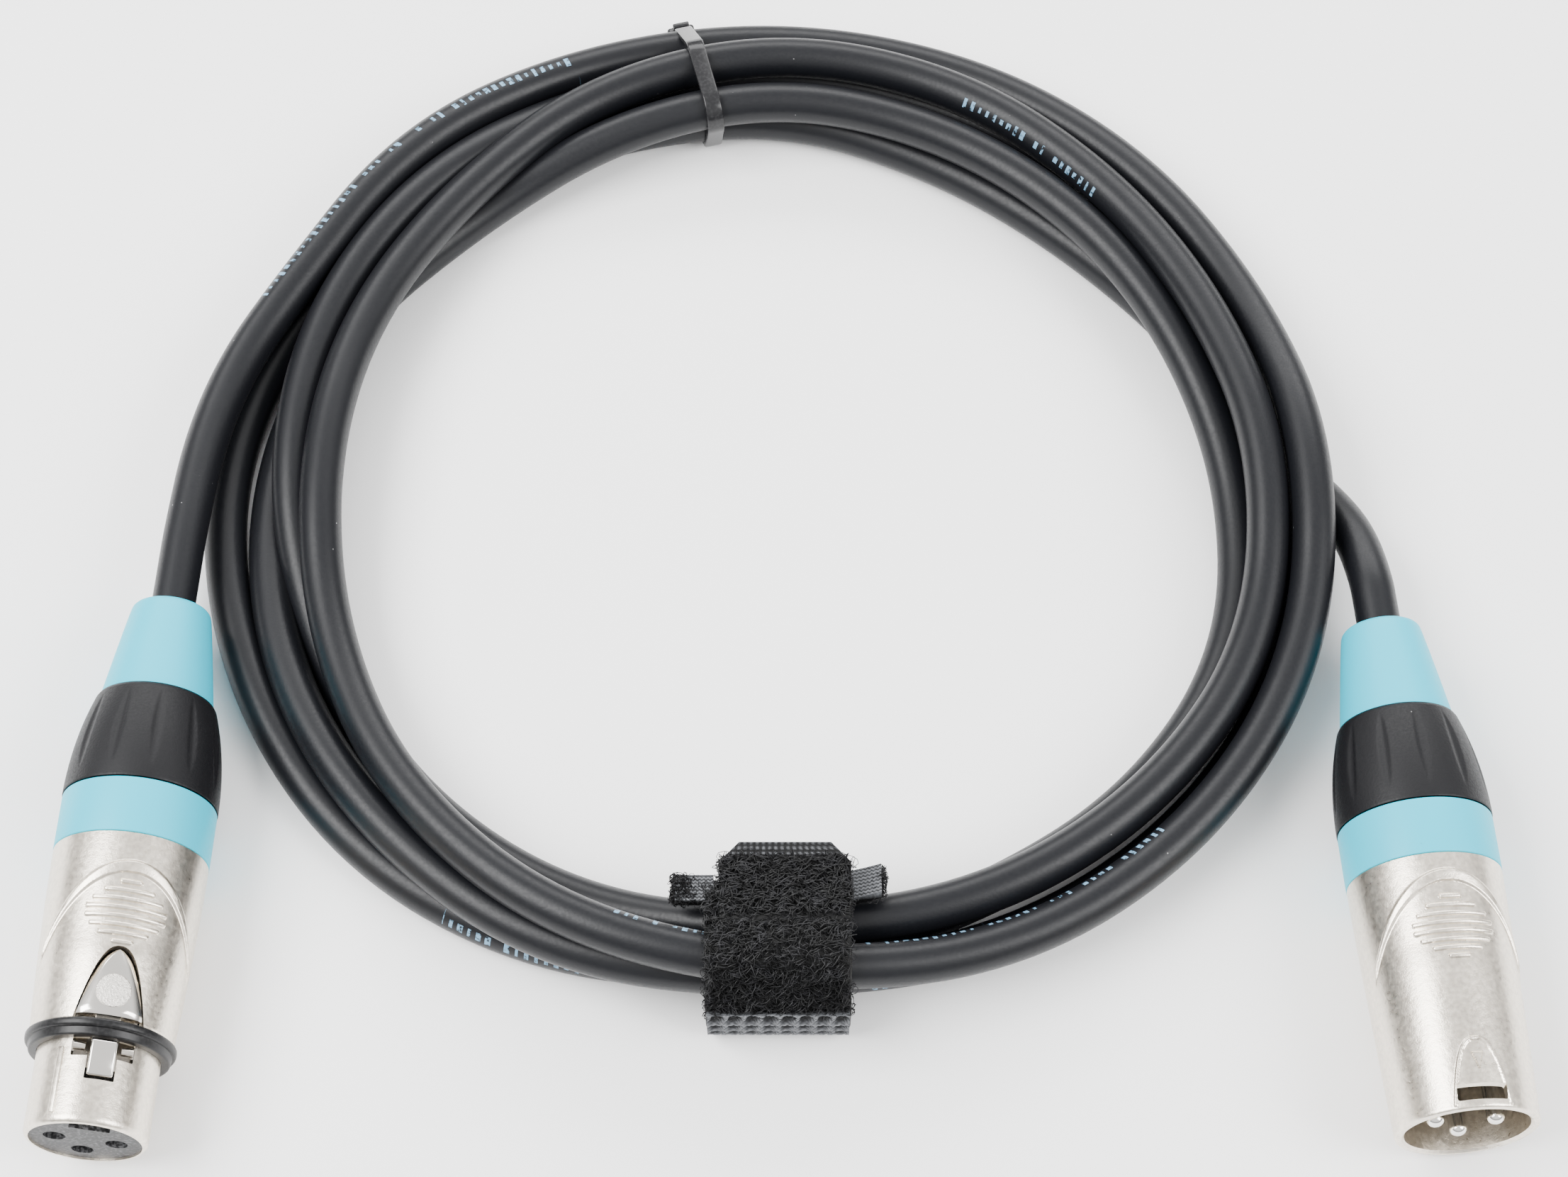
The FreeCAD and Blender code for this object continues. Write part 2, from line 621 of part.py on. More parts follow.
# ---- all pieces -------------------------------------------------------------------------------------
def main():
    os.makedirs("parts", exist_ok=True)
    for name, lay in (("socket", lay_socket), ("plug", lay_plug)):
        keep(lay(boot()), name + "_boot")
        keep(lay(collar()), name + "_collar")
        keep(lay(colour_ring()), name + "_colour_ring")
        keep(lay(chuck()), name + "_chuck")
        keep(lay(jacket_end()), name + "_jacket_end")
        cup_x = 54.5 if name == "socket" else 46.5
        for i, core in enumerate(("screen", "red", "white")):
            keep(lay(wire(i, cup_x)), name + "_wire_" + core)
    keep(lay_plug(plug_shell()), "plug_shell")
    keep(lay_plug(plug_insert()), "plug_insert")
    keep(lay_socket(socket_shell()), "socket_shell")
    keep(lay_socket(socket_insert()), "socket_insert")
    keep(lay_socket(latch()), "socket_latch")
    keep(lay_socket(latch_spring()), "socket_latch_spring")
    keep(lay_socket(seal_ring()), "socket_seal_ring")
    for i in range(3):
        keep(lay_plug(pin(i)), "plug_pin_%d" % (i + 1))
        keep(lay_socket(contact(i)), "socket_contact_%d" % (i + 1))
    keep(cable_coil(), "cable_coil")
    keep(cable_lead_socket(), "cable_lead_socket")
    keep(cable_lead_plug(), "cable_lead_plug")
    keep(zip_tie(), "zip_tie")
    keep(wrap_band(), "wrap_band")
    keep(wrap_head(), "wrap_head")
    keep(wrap_tail(), "wrap_tail")


if __name__ == "__main__":
    main()
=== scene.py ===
"""XLR microphone cable in a loose coil, held by a zip tie and a hook-and-loop wrap.

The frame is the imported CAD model. Connector pieces are worked out in millimetres in each
connector's own frame (x forward from the boot's tip, y across, z up) and then laid in place.
"""

import json
import math

import bpy
import numpy as np
from mathutils import Matrix, Vector


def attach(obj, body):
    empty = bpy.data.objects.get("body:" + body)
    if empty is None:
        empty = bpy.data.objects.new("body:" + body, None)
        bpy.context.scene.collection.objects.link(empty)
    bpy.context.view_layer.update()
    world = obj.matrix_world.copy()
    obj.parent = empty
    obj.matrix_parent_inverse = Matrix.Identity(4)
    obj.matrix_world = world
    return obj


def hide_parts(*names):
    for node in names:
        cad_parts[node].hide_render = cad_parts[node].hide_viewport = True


bl_info = {
    "name": "XLR cable coil",
    "version": (1, 0, 0),
    "blender": (4, 5, 0),
    "location": "View3D > Sidebar > Cable coil",
    "description": "Builds a coiled microphone cable around its CAD frame",
    "category": "Object",
}

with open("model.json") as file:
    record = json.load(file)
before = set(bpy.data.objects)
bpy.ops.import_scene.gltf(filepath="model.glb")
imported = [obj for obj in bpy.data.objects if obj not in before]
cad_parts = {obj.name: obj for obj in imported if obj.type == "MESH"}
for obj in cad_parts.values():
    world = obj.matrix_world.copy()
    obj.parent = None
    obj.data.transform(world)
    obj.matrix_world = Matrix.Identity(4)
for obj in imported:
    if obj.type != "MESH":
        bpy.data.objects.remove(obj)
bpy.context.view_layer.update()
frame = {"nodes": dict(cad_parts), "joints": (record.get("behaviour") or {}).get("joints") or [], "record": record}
MM = 0.001

# ---- sizes in millimetres and degrees ------------------------------------------------------
CABLE_R, CABLE_LENGTH = 3.0, 2080.0
COIL_X, COIL_Y = -0.05, 9.2
STEP = 22.5
# An order 3 curve lies inside its control points by this much at 16 stations a turn.
CURVE_PULL = 0.981
TURN_RADII = [
    [81.3, 76.3, 76.7, 77.0, 77.3, 76.2, 73.5, 72.5, 74.0, 77.5, 78.5, 78.7, 77.3, 75.8, 71.3, 66.5],
    [63.8, 63.9, 65.0, 69.2, 71.0, 70.0, 66.6, 65.5, 67.9, 71.0, 70.9, 70.9, 69.8, 69.5, 69.3, 68.2],
    [68.8, 70.0, 70.7, 71.5, 71.3, 70.0, 69.5, 70.3, 72.0, 76.4, 76.3, 75.9, 76.2, 78.3, 76.1, 74.2],
    [71.8, 68.7, 63.8, 62.1, 62.7, 61.8, 60.8, 61.0, 64.2, 68.2, 68.6, 68.5, 72.4, 77.0, 79.7, 79.4],
    [78.8, 75.4, 69.8, 65.3, 63.5, 60.2, 59.6, 63.9],
]
TURN_HEIGHTS = [
    [9.0, 9.0, 9.8, 6.0, 4.0, 4.5, 7.7, 9.0, 14.5, 9.4, 8.7, 9.0, 14.4, 14.3, 11.4, 8.8],
    [11.5, 10.2, 9.2, 9.5, 10.0, 9.2, 10.4, 12.3, 13.4, 8.6, 8.6, 9.2, 9.6, 3.4, 3.0, 3.0],
    [8.2, 8.9, 8.8, 4.2, 4.0, 3.2, 3.2, 3.6, 9.0, 3.4, 3.0, 3.5, 8.8, 8.9, 7.8, 5.0],
    [3.0, 3.0, 3.2, 8.6, 10.0, 8.9, 8.9, 8.5, 5.0, 3.2, 3.0, 3.5, 4.6, 3.0, 3.0, 3.0],
    [3.0, 3.0, 3.0, 3.5, 4.0, 3.0, 3.0, 3.0],
]
# Painted highlights, pale dashes where light catches the cable's edges: turn, first and last
# angle in the turn, and where round the cable they are at each (degrees from the top, outwards).
PAINTED_HIGHLIGHTS = [
    (0, 19, 66, 40, 2), (1, 113, 137, -50, -62), (0, 228, 262, -45, -60), (2, 248, 262, 74, 84),
    (3, 277, 304, 80, 58), (0, 277, 287, -52, -45),
]
BOOT_END, BOOT_ROOT = 14.5, 18.0
BOOT_TIP_R, BOOT_R, BOOT_SEAT_R, BOOT_BORE_R = 5.35, 7.7, 6.4, 3.25
COLLAR_END, SPIGOT_END, RING_END = 29.4, 35.4, 37.3
COLLAR_BACK_R, COLLAR_SWELL, COLLAR_SEAT_R, COLLAR_BORE_R = 8.1, 2.28, 8.03, 7.1
FLUTES, FLUTE_MIDDLE, FLUTE_REACH, FLUTE_HALF, FLUTE_DEEP = 12, 21.6, 6.0, 0.85, 0.24
RING_R, SLEEVE_R, SLEEVE_BORE_R, NECK_R = 10.3, 10.25, 8.1, 8.9
PLUG_LENGTH, PLUG_FRONT_R = 71.8, 9.3
SEAL_START, SEAL_END, SOCKET_LENGTH = 62.8, 65.0, 76.2
SLEEVE_FRONT_R = 9.3
NOSE_R, NOSE_BORE_R = 7.95, 7.25
# Relief on the sleeves: the arch's crest and the ribs' middle, for each connector.
SOCKET_ARCH, SOCKET_RIBS, PLUG_ARCH, PLUG_RIBS = 41.5, 48.3, 39.9, 47.5
ARCH_TURN, ARCH_REACH, ARCH_WIDTH, ARCH_HIGH, ARCH_HOLLOW = 78.0, 14.0, 1.5, 0.3, 0.22
RIBS, RIB_PITCH, RIB_HALF, RIB_HIGH, RIB_ROUND = 8, 1.17, 5.5, 0.3, 0.34
LINE_START, LINE_REACH, LINE_END, LINE_HALF, LINE_HIGH = 62.7, 8.9, 71.3, 4.1, 0.22
WEDGE_START, WEDGE_END, WEDGE_HALF = 64.6, 66.8, 0.75
TAB_APEX, TAB_FRONT, TAB_HALF = 53.3, 62.2, 4.2
PAD_X, PAD_R = 59.0, 2.25
NUB_START, NUB_END, NUB_TOP, NUB_HALF = 65.5, 70.0, 9.2, 1.65
TIE_ANGLE, TIE_WIDTH, TIE_THICK, TIE_SLANT = 80.0, 2.5, 1.0, 4.3
TIE_CORES = [(77.2, 4.0), (70.3, 9.9), (62.4, 9.7), (64.3, 4.0)]
WRAP_ANGLE, WRAP_WIDTH, WRAP_THICK = 270.0, 19.0, 1.6
WRAP_CORES = [(69.6, 4.6), (78.0, 4.6), (78.6, 9.8), (76.4, 14.2), (69.8, 10.4)]
HEAD_WIDTH, WING_HALF, WING_SLOPE, HEAD_AT = 27.0, 2.25, 20.0, (66.8, 12.6)
TAIL_LENGTH, TAIL_SLOPE, TAIL_HINGE = 6.2, 12.0, (68.4, 16.9)
TAIL_CLIP, TAIL_ASIDE = 2.6, 0.9
YARN_R, FUZZ_R = 0.055, 0.05
# Camera, in metres, and its lens in millimetres.
CAMERA_AT, CAMERA_TILT, LENS, SENSOR = (0.00071, -0.2315, 0.4247), 28.0, 77.9, 36.0
# Lamps: place, size, share of the key lamp's power.
LAMPS = {
    "key": ((-0.55, -0.1, 0.75), (0.7, 0.5), 1.0),
    "fill": ((0.65, -0.25, 0.6), (0.5, 0.5), 0.55),
    "back": ((0.0, 0.75, 0.55), (1.2, 0.35), 0.6),
}


# ---- meshes ------------------------------------------------------------------------------
class Shape:
    """Surfaces gathered into one mesh, each turned so that its faces look outwards."""

    def __init__(self):
        self.verts, self.quads, self.tris, self.size = [], [], [], 0

    def take(self, verts, quads, tris=None):
        """Add a surface. Its enclosed volume's sign tells whether its faces look outwards."""
        verts = np.asarray(verts, float).reshape(-1, 3)
        tris = np.zeros((0, 3), int) if tris is None else np.asarray(tris, int)
        every = np.concatenate([quads[:, [0, 1, 2]], quads[:, [0, 2, 3]], tris])
        a, b, c = (verts[every[:, i]] - verts.mean(0) for i in range(3))
        if np.einsum("ij,ij->i", a, np.cross(b, c)).sum() < 0:
            quads, tris = quads[:, ::-1], tris[:, ::-1]
        self.verts.append(verts)
        self.quads.append(quads + self.size)
        self.tris.append(tris + self.size)
        self.size += len(verts)
        return self

    def grid(self, points, wrap_rows=False, wrap_columns=True):
        """Quads over an array of points (rows, columns, 3), with a fan over each open end."""
        rows, columns = points.shape[:2]
        i = np.arange(rows if wrap_rows else rows - 1)[:, None]
        j = np.arange(columns if wrap_columns else columns - 1)[None, :]
        up, right = (i + 1) % rows, (j + 1) % columns
        corners = [i * columns + j, up * columns + j, up * columns + right, i * columns + right]
        quads = np.stack(np.broadcast_arrays(*corners), -1).reshape(-1, 4)
        verts = points.reshape(-1, 3)
        tris = None
        if wrap_columns and not wrap_rows:
            verts = np.concatenate([verts, points[:1].mean(1), points[-1:].mean(1)])
            k = np.arange(columns)
            after = (k + 1) % columns
            first = np.full(columns, rows * columns)
            start = (rows - 1) * columns
            tris = np.concatenate([np.stack([k, after, first], -1),
                                   np.stack([start + after, start + k, first + 1], -1)])
        return self.take(verts, quads, tris)

    def lathe(self, profile, sides=128):
        """Closed outline (x, radius) turned about the x axis."""
        profile = np.asarray(profile, float)
        turn = np.linspace(0, 2 * np.pi, sides, endpoint=False)
        x, r = profile[:, None, 0], profile[:, None, 1]
        points = np.stack([x + 0 * turn, -r * np.sin(turn), r * np.cos(turn)], -1)
        return self.grid(points, wrap_rows=True)

    def strands(self, paths, radii, sides=3):
        """Thin tubes along an array of paths (count, points, 3)."""
        along = np.gradient(paths, axis=1)
        along /= np.linalg.norm(along, axis=2, keepdims=True) + 1e-12
        side = np.cross(along, np.array([0.31, 0.27, 0.91]))
        side /= np.linalg.norm(side, axis=2, keepdims=True) + 1e-12
        over = np.cross(side, along)
        turn = np.arange(sides) * 2 * np.pi / sides
        spoke = side[:, :, None] * np.cos(turn)[:, None] + over[:, :, None] * np.sin(turn)[:, None]
        points = paths[:, :, None] + spoke * np.asarray(radii).reshape(-1, 1, 1, 1)
        count, length = paths.shape[:2]
        n = np.arange(count)[:, None, None] * length * sides
        i = np.arange(length - 1)[None, :, None] * sides
        j = np.arange(sides)[None, None, :]
        right = (j + 1) % sides
        corners = [n + i + j, n + i + sides + j, n + i + sides + right, n + i + right]
        quads = np.stack(np.broadcast_arrays(*corners), -1).reshape(-1, 4)
        return self.take(points.reshape(-1, 3), quads)

    def soft_box(self, low, high, bevel, steps=3):
        """Box with rounded edges: rounded rectangles stacked along x, drawn in at both ends."""
        low, high = np.array(low, float), np.array(high, float)
        quarter = np.linspace(0, np.pi / 2, steps + 1)
        corner = np.concatenate([quarter + k * np.pi / 2 for k in range(4)])
        sign_y = np.repeat([1, -1, -1, 1], steps + 1)
        sign_z = np.repeat([1, 1, -1, -1], steps + 1)
        middle, half = (low + high) / 2, (high - low) / 2
        inset = bevel * (1 - np.sin(quarter))
        reach = half[0] - bevel + bevel * np.cos(quarter)
        rows = list(zip(-reach, inset)) + list(zip(reach[::-1], inset[::-1]))
        points = []
        for x, d in rows:
            y = sign_y * (half[1] - bevel) + (bevel - d) * np.cos(corner)
            z = sign_z * (half[2] - bevel) + (bevel - d) * np.sin(corner)
            points.append(np.stack([0 * y + x, y, z], -1) + middle)
        return self.grid(np.array(points))

    def laid(self, place):
        """The same surfaces, put in place by a function on points."""
        self.verts = [place(v) for v in self.verts]
        return self

    def mesh(self, name, sharp=35.0):
        """Blender mesh of all the surfaces, smooth but for edges sharper than an angle."""
        verts = np.concatenate(self.verts)
        quads, tris = np.concatenate(self.quads), np.concatenate(self.tris)
        loops = np.concatenate([quads.ravel(), tris.ravel()])
        sizes = np.concatenate([np.full(len(quads), 4), np.full(len(tris), 3)])
        starts = np.concatenate([[0], np.cumsum(sizes)[:-1]])
        mesh = bpy.data.meshes.new(name)
        mesh.vertices.add(len(verts))
        mesh.vertices.foreach_set("co", verts.ravel())
        mesh.loops.add(len(loops))
        mesh.loops.foreach_set("vertex_index", loops)
        mesh.polygons.add(len(sizes))
        mesh.polygons.foreach_set("loop_start", starts)
        mesh.update(calc_edges=True)
        mesh.validate()
        mesh.polygons.foreach_set("use_smooth", np.ones(len(mesh.polygons), bool))
        mesh.set_sharp_from_angle(angle=math.radians(sharp))
        return mesh


def softened(corners, steps=4):
    """Closed outline with rounded corners, from (x, r, rounding); each corner is a Bezier."""
    outline = []
    for k, (x, r, soft) in enumerate(corners):
        here = np.array([x, r], float)
        before = np.array(corners[k - 1][:2], float) - here
        after = np.array(corners[(k + 1) % len(corners)][:2], float) - here
        if soft == 0:
            outline.append(here)
            continue
        a = here + before / np.linalg.norm(before) * soft
        b = here + after / np.linalg.norm(after) * soft
        for t in np.linspace(0, 1, steps + 1):
            outline.append(a * (1 - t) ** 2 + here * 2 * t * (1 - t) + b * t * t)
    return np.array(outline)


def smooth(edge0, edge1, value):
    """Ease from 0 to 1 between two edges: 3 t^2 - 2 t^3."""
    t = np.clip((value - edge0) / (edge1 - edge0), 0, 1)
    return t * t * (3 - 2 * t)


def new_object(name, mesh):
    """Object at the origin, in the scene's collection."""
    obj = bpy.data.objects.new(name, mesh)
    bpy.context.scene.collection.objects.link(obj)
    return obj


def carve(obj, cutters):
    """Cut closed meshes out of a mesh object, and keep the outcome as its mesh."""
    for shape in cutters:
        tool = new_object("cutter", shape.mesh("cutter"))
        modifier = obj.modifiers.new("cut", "BOOLEAN")
        modifier.operation, modifier.solver, modifier.object = "DIFFERENCE", "EXACT", tool
        bpy.context.view_layer.update()
        result = bpy.data.meshes.new_from_object(
            obj.evaluated_get(bpy.context.evaluated_depsgraph_get()))
        obj.modifiers.clear()
        obj.data = result
        bpy.data.objects.remove(tool)
    obj.data.polygons.foreach_set("use_smooth", np.ones(len(obj.data.polygons), bool))
    obj.data.set_sharp_from_angle(angle=math.radians(35))


def show(obj, material, body, slot, *nodes):
    """Give a piece its material and its body, and hide the CAD nodes it stands for; the slot is not used."""
    obj.data.materials.clear()
    obj.data.materials.append(material)
    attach(obj, body)
    if nodes:
        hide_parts(*nodes)
    return obj


# ---- places ------------------------------------------------------------------------------
def joint(name):
    """A joint of the frame, by name."""
    return next(j for j in frame["joints"] if j["name"] == name)


def mount(name):
    """Place of one of the record's mounts, in metres."""
    found = next(m for m in frame["record"]["mounts"] if m["name"] == name)
    return np.array(found["pos_m"], float)


def connector_place(side):
    """Function from a connector's own millimetres to metres in the row frame."""
    turn = joint(side + "_collar_turn")
    tip = np.array(turn["pos_m"], float)
    front = -np.array(turn["axis"], float)
    feature = {"socket": "socket_hole_", "plug": "plug_pin_"}[side]
    across = mount(feature + "2") - mount(feature + "1")
    across /= np.linalg.norm(across)
    up = np.cross(front, across)
    turned = np.array([front, across, up])
    return lambda points: tip + (np.asarray(points, float) * MM) @ turned


def ring_place(angle, slant=0.0):
    """Function from (outwards, to the side, up) at a station of the coil to metres."""
    a, s = math.radians(angle), math.radians(slant)
    outward = np.array([-math.cos(a), math.sin(a), 0.0])
    side = np.array([-math.sin(a), -math.cos(a), 0.0])
    middle = np.array([COIL_X, COIL_Y, 0.0])
    turned = np.array([outward * math.cos(s) + side * math.sin(s),
                       side * math.cos(s) - outward * math.sin(s), [0, 0, 1.0]])
    pivot = np.array([70.0, 0.0, 0.0])

    def place(points):
        local = np.asarray(points, float) - pivot
        return (middle + outward * pivot[0] + local @ turned) * MM

    return place


# ---- materials ---------------------------------------------------------------------------
class Term:
    """A number socket in a node tree; sums on it add Math nodes."""

    def __init__(self, paint, socket):
        self.paint, self.socket = paint, socket

    def maths(self, operation, *values):
        return self.paint.add("Math", {"operation": operation}, dict(enumerate(values)))

    def __add__(self, other):
        return self.maths("ADD", self, other)

    __radd__ = __add__

    def __sub__(self, other):
        return self.maths("SUBTRACT", self, other)

    def __rsub__(self, other):
        return self.maths("SUBTRACT", other, self)

    def __mul__(self, other):
        return self.maths("MULTIPLY", self, other)

    __rmul__ = __mul__

    def __truediv__(self, other):
        return self.maths("DIVIDE", self, other)

    def __lt__(self, other):
        return self.maths("LESS_THAN", self, other)

    def __gt__(self, other):
        return self.maths("GREATER_THAN", self, other)

    def floor(self):
        return self.maths("FLOOR", self)

    def fraction(self):
        return self.maths("FRACT", self)

    def distance(self, other):
        return self.maths("ABSOLUTE", self - other)


class Paint:
    """A principled material and its nodes."""

    def __init__(self, name, color, roughness, metallic=0.0, coat=0.0):
        self.material = bpy.data.materials.new(name)
        self.material.use_nodes = True
        self.tree = self.material.node_tree
        self.surface = self.tree.nodes["Principled BSDF"]
        self.set("Base Color", color)
        self.set("Roughness", roughness)
        self.set("Metallic", metallic)
        self.set("Coat Weight", coat)
        self.place = self.add("TexCoord", out="Object")

    def join(self, socket, value):
        if isinstance(value, Term):
            self.tree.links.new(value.socket, socket)
        elif socket.type == "RGBA" and len(value) == 3:
            socket.default_value = (*value, 1.0)
        else:
            socket.default_value = value

    def add(self, kind, settings=None, values=None, out=0):
        """Add any node: its settings, then the values or links of its sockets."""
        node = self.tree.nodes.new("ShaderNode" + kind)
        for key, value in (settings or {}).items():
            setattr(node, key, value)
        for key, value in (values or {}).items():
            self.join(node.inputs[key], value)
        return Term(self, node.outputs[out])

    def set(self, name, value):
        self.join(self.surface.inputs[name], value)

    def noise(self, scale, detail=2.0, place=None):
        values = {"Vector": place or self.place, "Scale": scale, "Detail": detail}
        return self.add("TexNoise", {}, values, "Fac")

    def cells(self, scale, out="Distance"):
        return self.add("TexVoronoi", {}, {"Vector": self.place, "Scale": scale}, out)

    def spread(self, value, low, high, to_low=0.0, to_high=1.0):
        """Map a range of a number to another range, held at its ends."""
        values = {0: value, 1: low, 2: high, 3: to_low, 4: to_high}
        return self.add("MapRange", {"clamp": True}, values)

    def blend(self, factor, a, b):
        node = self.tree.nodes.new("ShaderNodeMix")
        node.data_type = "RGBA"
        for socket, value in ((node.inputs[0], factor), (node.inputs[6], a), (node.inputs[7], b)):
            self.join(socket, value)
        return Term(self, node.outputs[2])

    def bump(self, height, strength, distance):
        values = {"Height": height, "Strength": strength, "Distance": distance}
        self.set("Normal", self.add("Bump", {}, values, "Normal"))

    def attribute(self, name, out="Fac"):
        return self.add("Attribute", {"attribute_name": name}, {}, out)


def once(make):
    """Keep the material a function makes, so that pieces share it."""
    made = {}

    def get(*args):
        if args not in made:
            made[args] = make(*args)
        return made[args]

    return get


@once
def jacket_paint():
    """Near black PVC with dust specks, and painted highlights: pale dashes along the cable's lit edges, where the
    point attribute made with the cable is near 0 across.
    """
    look = bpy.context.scene.cable_coil_cable
    p = Paint("jacket", look.jacket_color[:], 0.4)
    p.set("Specular IOR Level", 0.26)
    fine = p.noise(2600.0, 3.0)
    dust = p.spread(p.cells(430.0), 0.045, 0.03) * p.spread(p.noise(90.0), 0.56, 0.62)
    # Painted highlights: the attribute gives distance along the cable and distance round it from a highlight line.
    place = p.attribute("mark", "Vector")
    split = p.add("SeparateXYZ", {}, {0: place}, "X")
    along = split / 1.35
    across = Term(p, split.socket.node.outputs["Y"])
    pick = p.add("TexWhiteNoise", {"noise_dimensions": "1D"}, {"W": along.floor()}, "Value")
    thick = p.spread(pick, 0.0, 1.0, 0.12, 0.3)
    tall = p.spread((pick * 7.0).fraction(), 0.0, 1.0, 0.35, 0.8)
    highlight_dash = (along.fraction().distance(0.5) < thick) * (across.distance(0.0) < tall)
    painted_highlight = highlight_dash * (pick > 0.12) * p.spread(p.noise(1500.0), 0.35, 0.5)
    color = p.blend(dust * 0.6, look.jacket_color[:], (0.42, 0.42, 0.42))
    # Jacket colour with dust specks, then the painted highlights over it in their pale bluish colour.
    p.set("Base Color", p.blend(painted_highlight, color, look.highlight_color[:]))
    p.set("Roughness", p.spread(fine, 0.3, 0.7, 0.34, 0.44))
    p.bump(fine, 0.08, 0.0002)
    return p.material


@once
def rubber_paint():
    look = bpy.context.scene.cable_coil_connector
    p = Paint("cyan_rubber", look.code_color[:], 0.42)
    p.set("Specular IOR Level", 0.3)
    fine = p.noise(1800.0, 2.0)
    dust = p.spread(p.cells(300.0), 0.035, 0.02) * p.spread(p.noise(70.0), 0.6, 0.66)
    p.set("Base Color", p.blend(dust * 0.4, look.code_color[:], (0.05, 0.14, 0.19)))
    p.set("Roughness", p.spread(fine, 0.3, 0.7, 0.38, 0.48))
    p.bump(fine, 0.05, 0.0002)
    return p.material


@once
def collar_paint():
    p = Paint("collar_black", (0.004, 0.004, 0.005), 0.5)
    p.set("Specular IOR Level", 0.24)
    fine = p.noise(3200.0, 2.0)
    dust = p.spread(p.cells(350.0), 0.04, 0.025) * p.spread(p.noise(80.0), 0.6, 0.66)
    p.set("Base Color", p.blend(dust * 0.5, (0.004, 0.004, 0.005), (0.4, 0.4, 0.4)))
    p.set("Roughness", p.spread(fine, 0.3, 0.7, 0.42, 0.56))
    p.bump(fine, 0.16, 0.0002)
    return p.material


@once
def nickel_paint():
    """Satin nickel on a cast surface: fine pebbles, with slow changes of polish."""
    look = bpy.context.scene.cable_coil_connector
    p = Paint("satin_nickel", look.metal_color[:], 0.3, 1.0)
    pebble = p.noise(1500.0, 2.5)
    grain = p.noise(5200.0, 2.0)
    patch = p.noise(160.0, 2.0)
    tone = p.blend(p.spread(pebble, 0.3, 0.7), (0.72, 0.655, 0.56), look.metal_color[:])
    p.set("Base Color", tone)
    p.set("Roughness", p.spread(patch * 0.4 + pebble * 0.6, 0.35, 0.65, 0.27, 0.36))
    p.bump(pebble * 0.6 + grain * 0.4, 0.22, 0.0002)
    return p.material


@once
def polished_paint():
    p = Paint("polished_nickel", (0.78, 0.75, 0.7), 0.13, 1.0)
    p.set("Roughness", p.spread(p.noise(260.0, 3.0), 0.35, 0.65, 0.08, 0.2))
    return p.material


@once
def pad_paint():
    p = Paint("textured_pad", (0.66, 0.63, 0.58), 0.34, 1.0)
    p.bump(p.noise(3300.0, 3.0), 0.6, 0.0004)
    return p.material


@once
def plain_paint(name, color, roughness, metallic, speckle):
    p = Paint(name, color, roughness, metallic)
    p.set("Specular IOR Level", 0.3)
    fine = p.noise(2200.0, 2.0)
    lit = tuple(min(1.0, c * (1 + speckle) + 0.02 * speckle) for c in color)
    p.set("Base Color", p.blend(p.spread(fine, 0.45, 0.75), color, lit))
    p.set("Roughness", p.spread(fine, 0.3, 0.7, roughness * 0.85, min(1.0, roughness * 1.15)))
    return p.material


@once
def fabric_paint(name, tone):
    """Yarn: dark, rough, a little lighter on some fibres."""
    p = Paint(name, (tone, tone, tone * 1.1), 0.55)
    p.set("Specular IOR Level", 0.25)
    some = p.spread(p.noise(700.0, 2.0), 0.45, 0.75)
    p.set("Base Color", p.blend(some, (tone * 0.6, tone * 0.6, tone * 0.65),
                                (tone * 2.2, tone * 2.2, tone * 2.5)))
    return p.material


@once
def knit_paint(name):
    """Knitted cloth whose pale yarn follows the yarn attribute."""
    p = Paint(name, (0.02, 0.02, 0.022), 0.6)
    p.set("Specular IOR Level", 0.2)
    yarn = p.attribute("yarn") * p.spread(p.noise(2500.0, 2.0), 0.3, 0.7, 0.5, 1.0)
    p.set("Base Color", p.blend(yarn, (0.001, 0.001, 0.0012), (0.26, 0.27, 0.29)))
    p.bump(p.noise(4000.0, 2.0), 0.4, 0.0003)
    return p.material


# ---- cable -------------------------------------------------------------------------------
def on_coil(radius, angle, height):
    """Point of the coil in millimetres; the angle runs from the left by way of the back."""
    a = math.radians(angle)
    return [COIL_X - radius * math.cos(a), COIL_Y + radius * math.sin(a), height]


def cable_points():
    """Control points of the whole cable in millimetres, from the socket to the plug."""
    socket, plug = connector_place("socket"), connector_place("plug")

    def behind(place, distance):
        return list(place([-distance, 0, 0]) / MM)

    points = [behind(socket, -1.0), behind(socket, 6.5), behind(socket, 13.0),
              [-81.35, 12.6, 9.9], [-77.85, 25.6, 9.2], [-71.85, 37.4, 9.0]]
    for turn, (radii, heights) in enumerate(zip(TURN_RADII, TURN_HEIGHTS)):
        for station, (radius, height) in enumerate(zip(radii, heights)):
            if turn > 0 or station > 1:
                points.append(on_coil(radius / CURVE_PULL, STEP * station, height))
    points += [[73.15, 11.6, 3.0], [77.75, 5.5, 4.9], [80.75, -1.6, 8.1],
               behind(plug, 8.3), behind(plug, 4.0), behind(plug, -1.0)]
    return points


def nurbs_route(name, points):
    """Points in metres along an order 3 NURBS curve through metres-scaled control points."""
    curve = bpy.data.curves.new(name, "CURVE")
    curve.dimensions = "3D"
    curve.resolution_u = 12
    spline = curve.splines.new("NURBS")
    spline.points.add(len(points) - 1)
    for target, point in zip(spline.points, points):
        target.co = (point[0] * MM, point[1] * MM, point[2] * MM, 1.0)
    spline.order_u = 3
    spline.use_endpoint_u = True
    obj = new_object(name, curve)
    bpy.context.view_layer.update()
    mesh = bpy.data.meshes.new_from_object(
        obj.evaluated_get(bpy.context.evaluated_depsgraph_get()))
    route = np.zeros(len(mesh.vertices) * 3)
    mesh.vertices.foreach_get("co", route)
    bpy.data.objects.remove(obj)
    bpy.data.meshes.remove(mesh)
    return route.reshape(-1, 3)


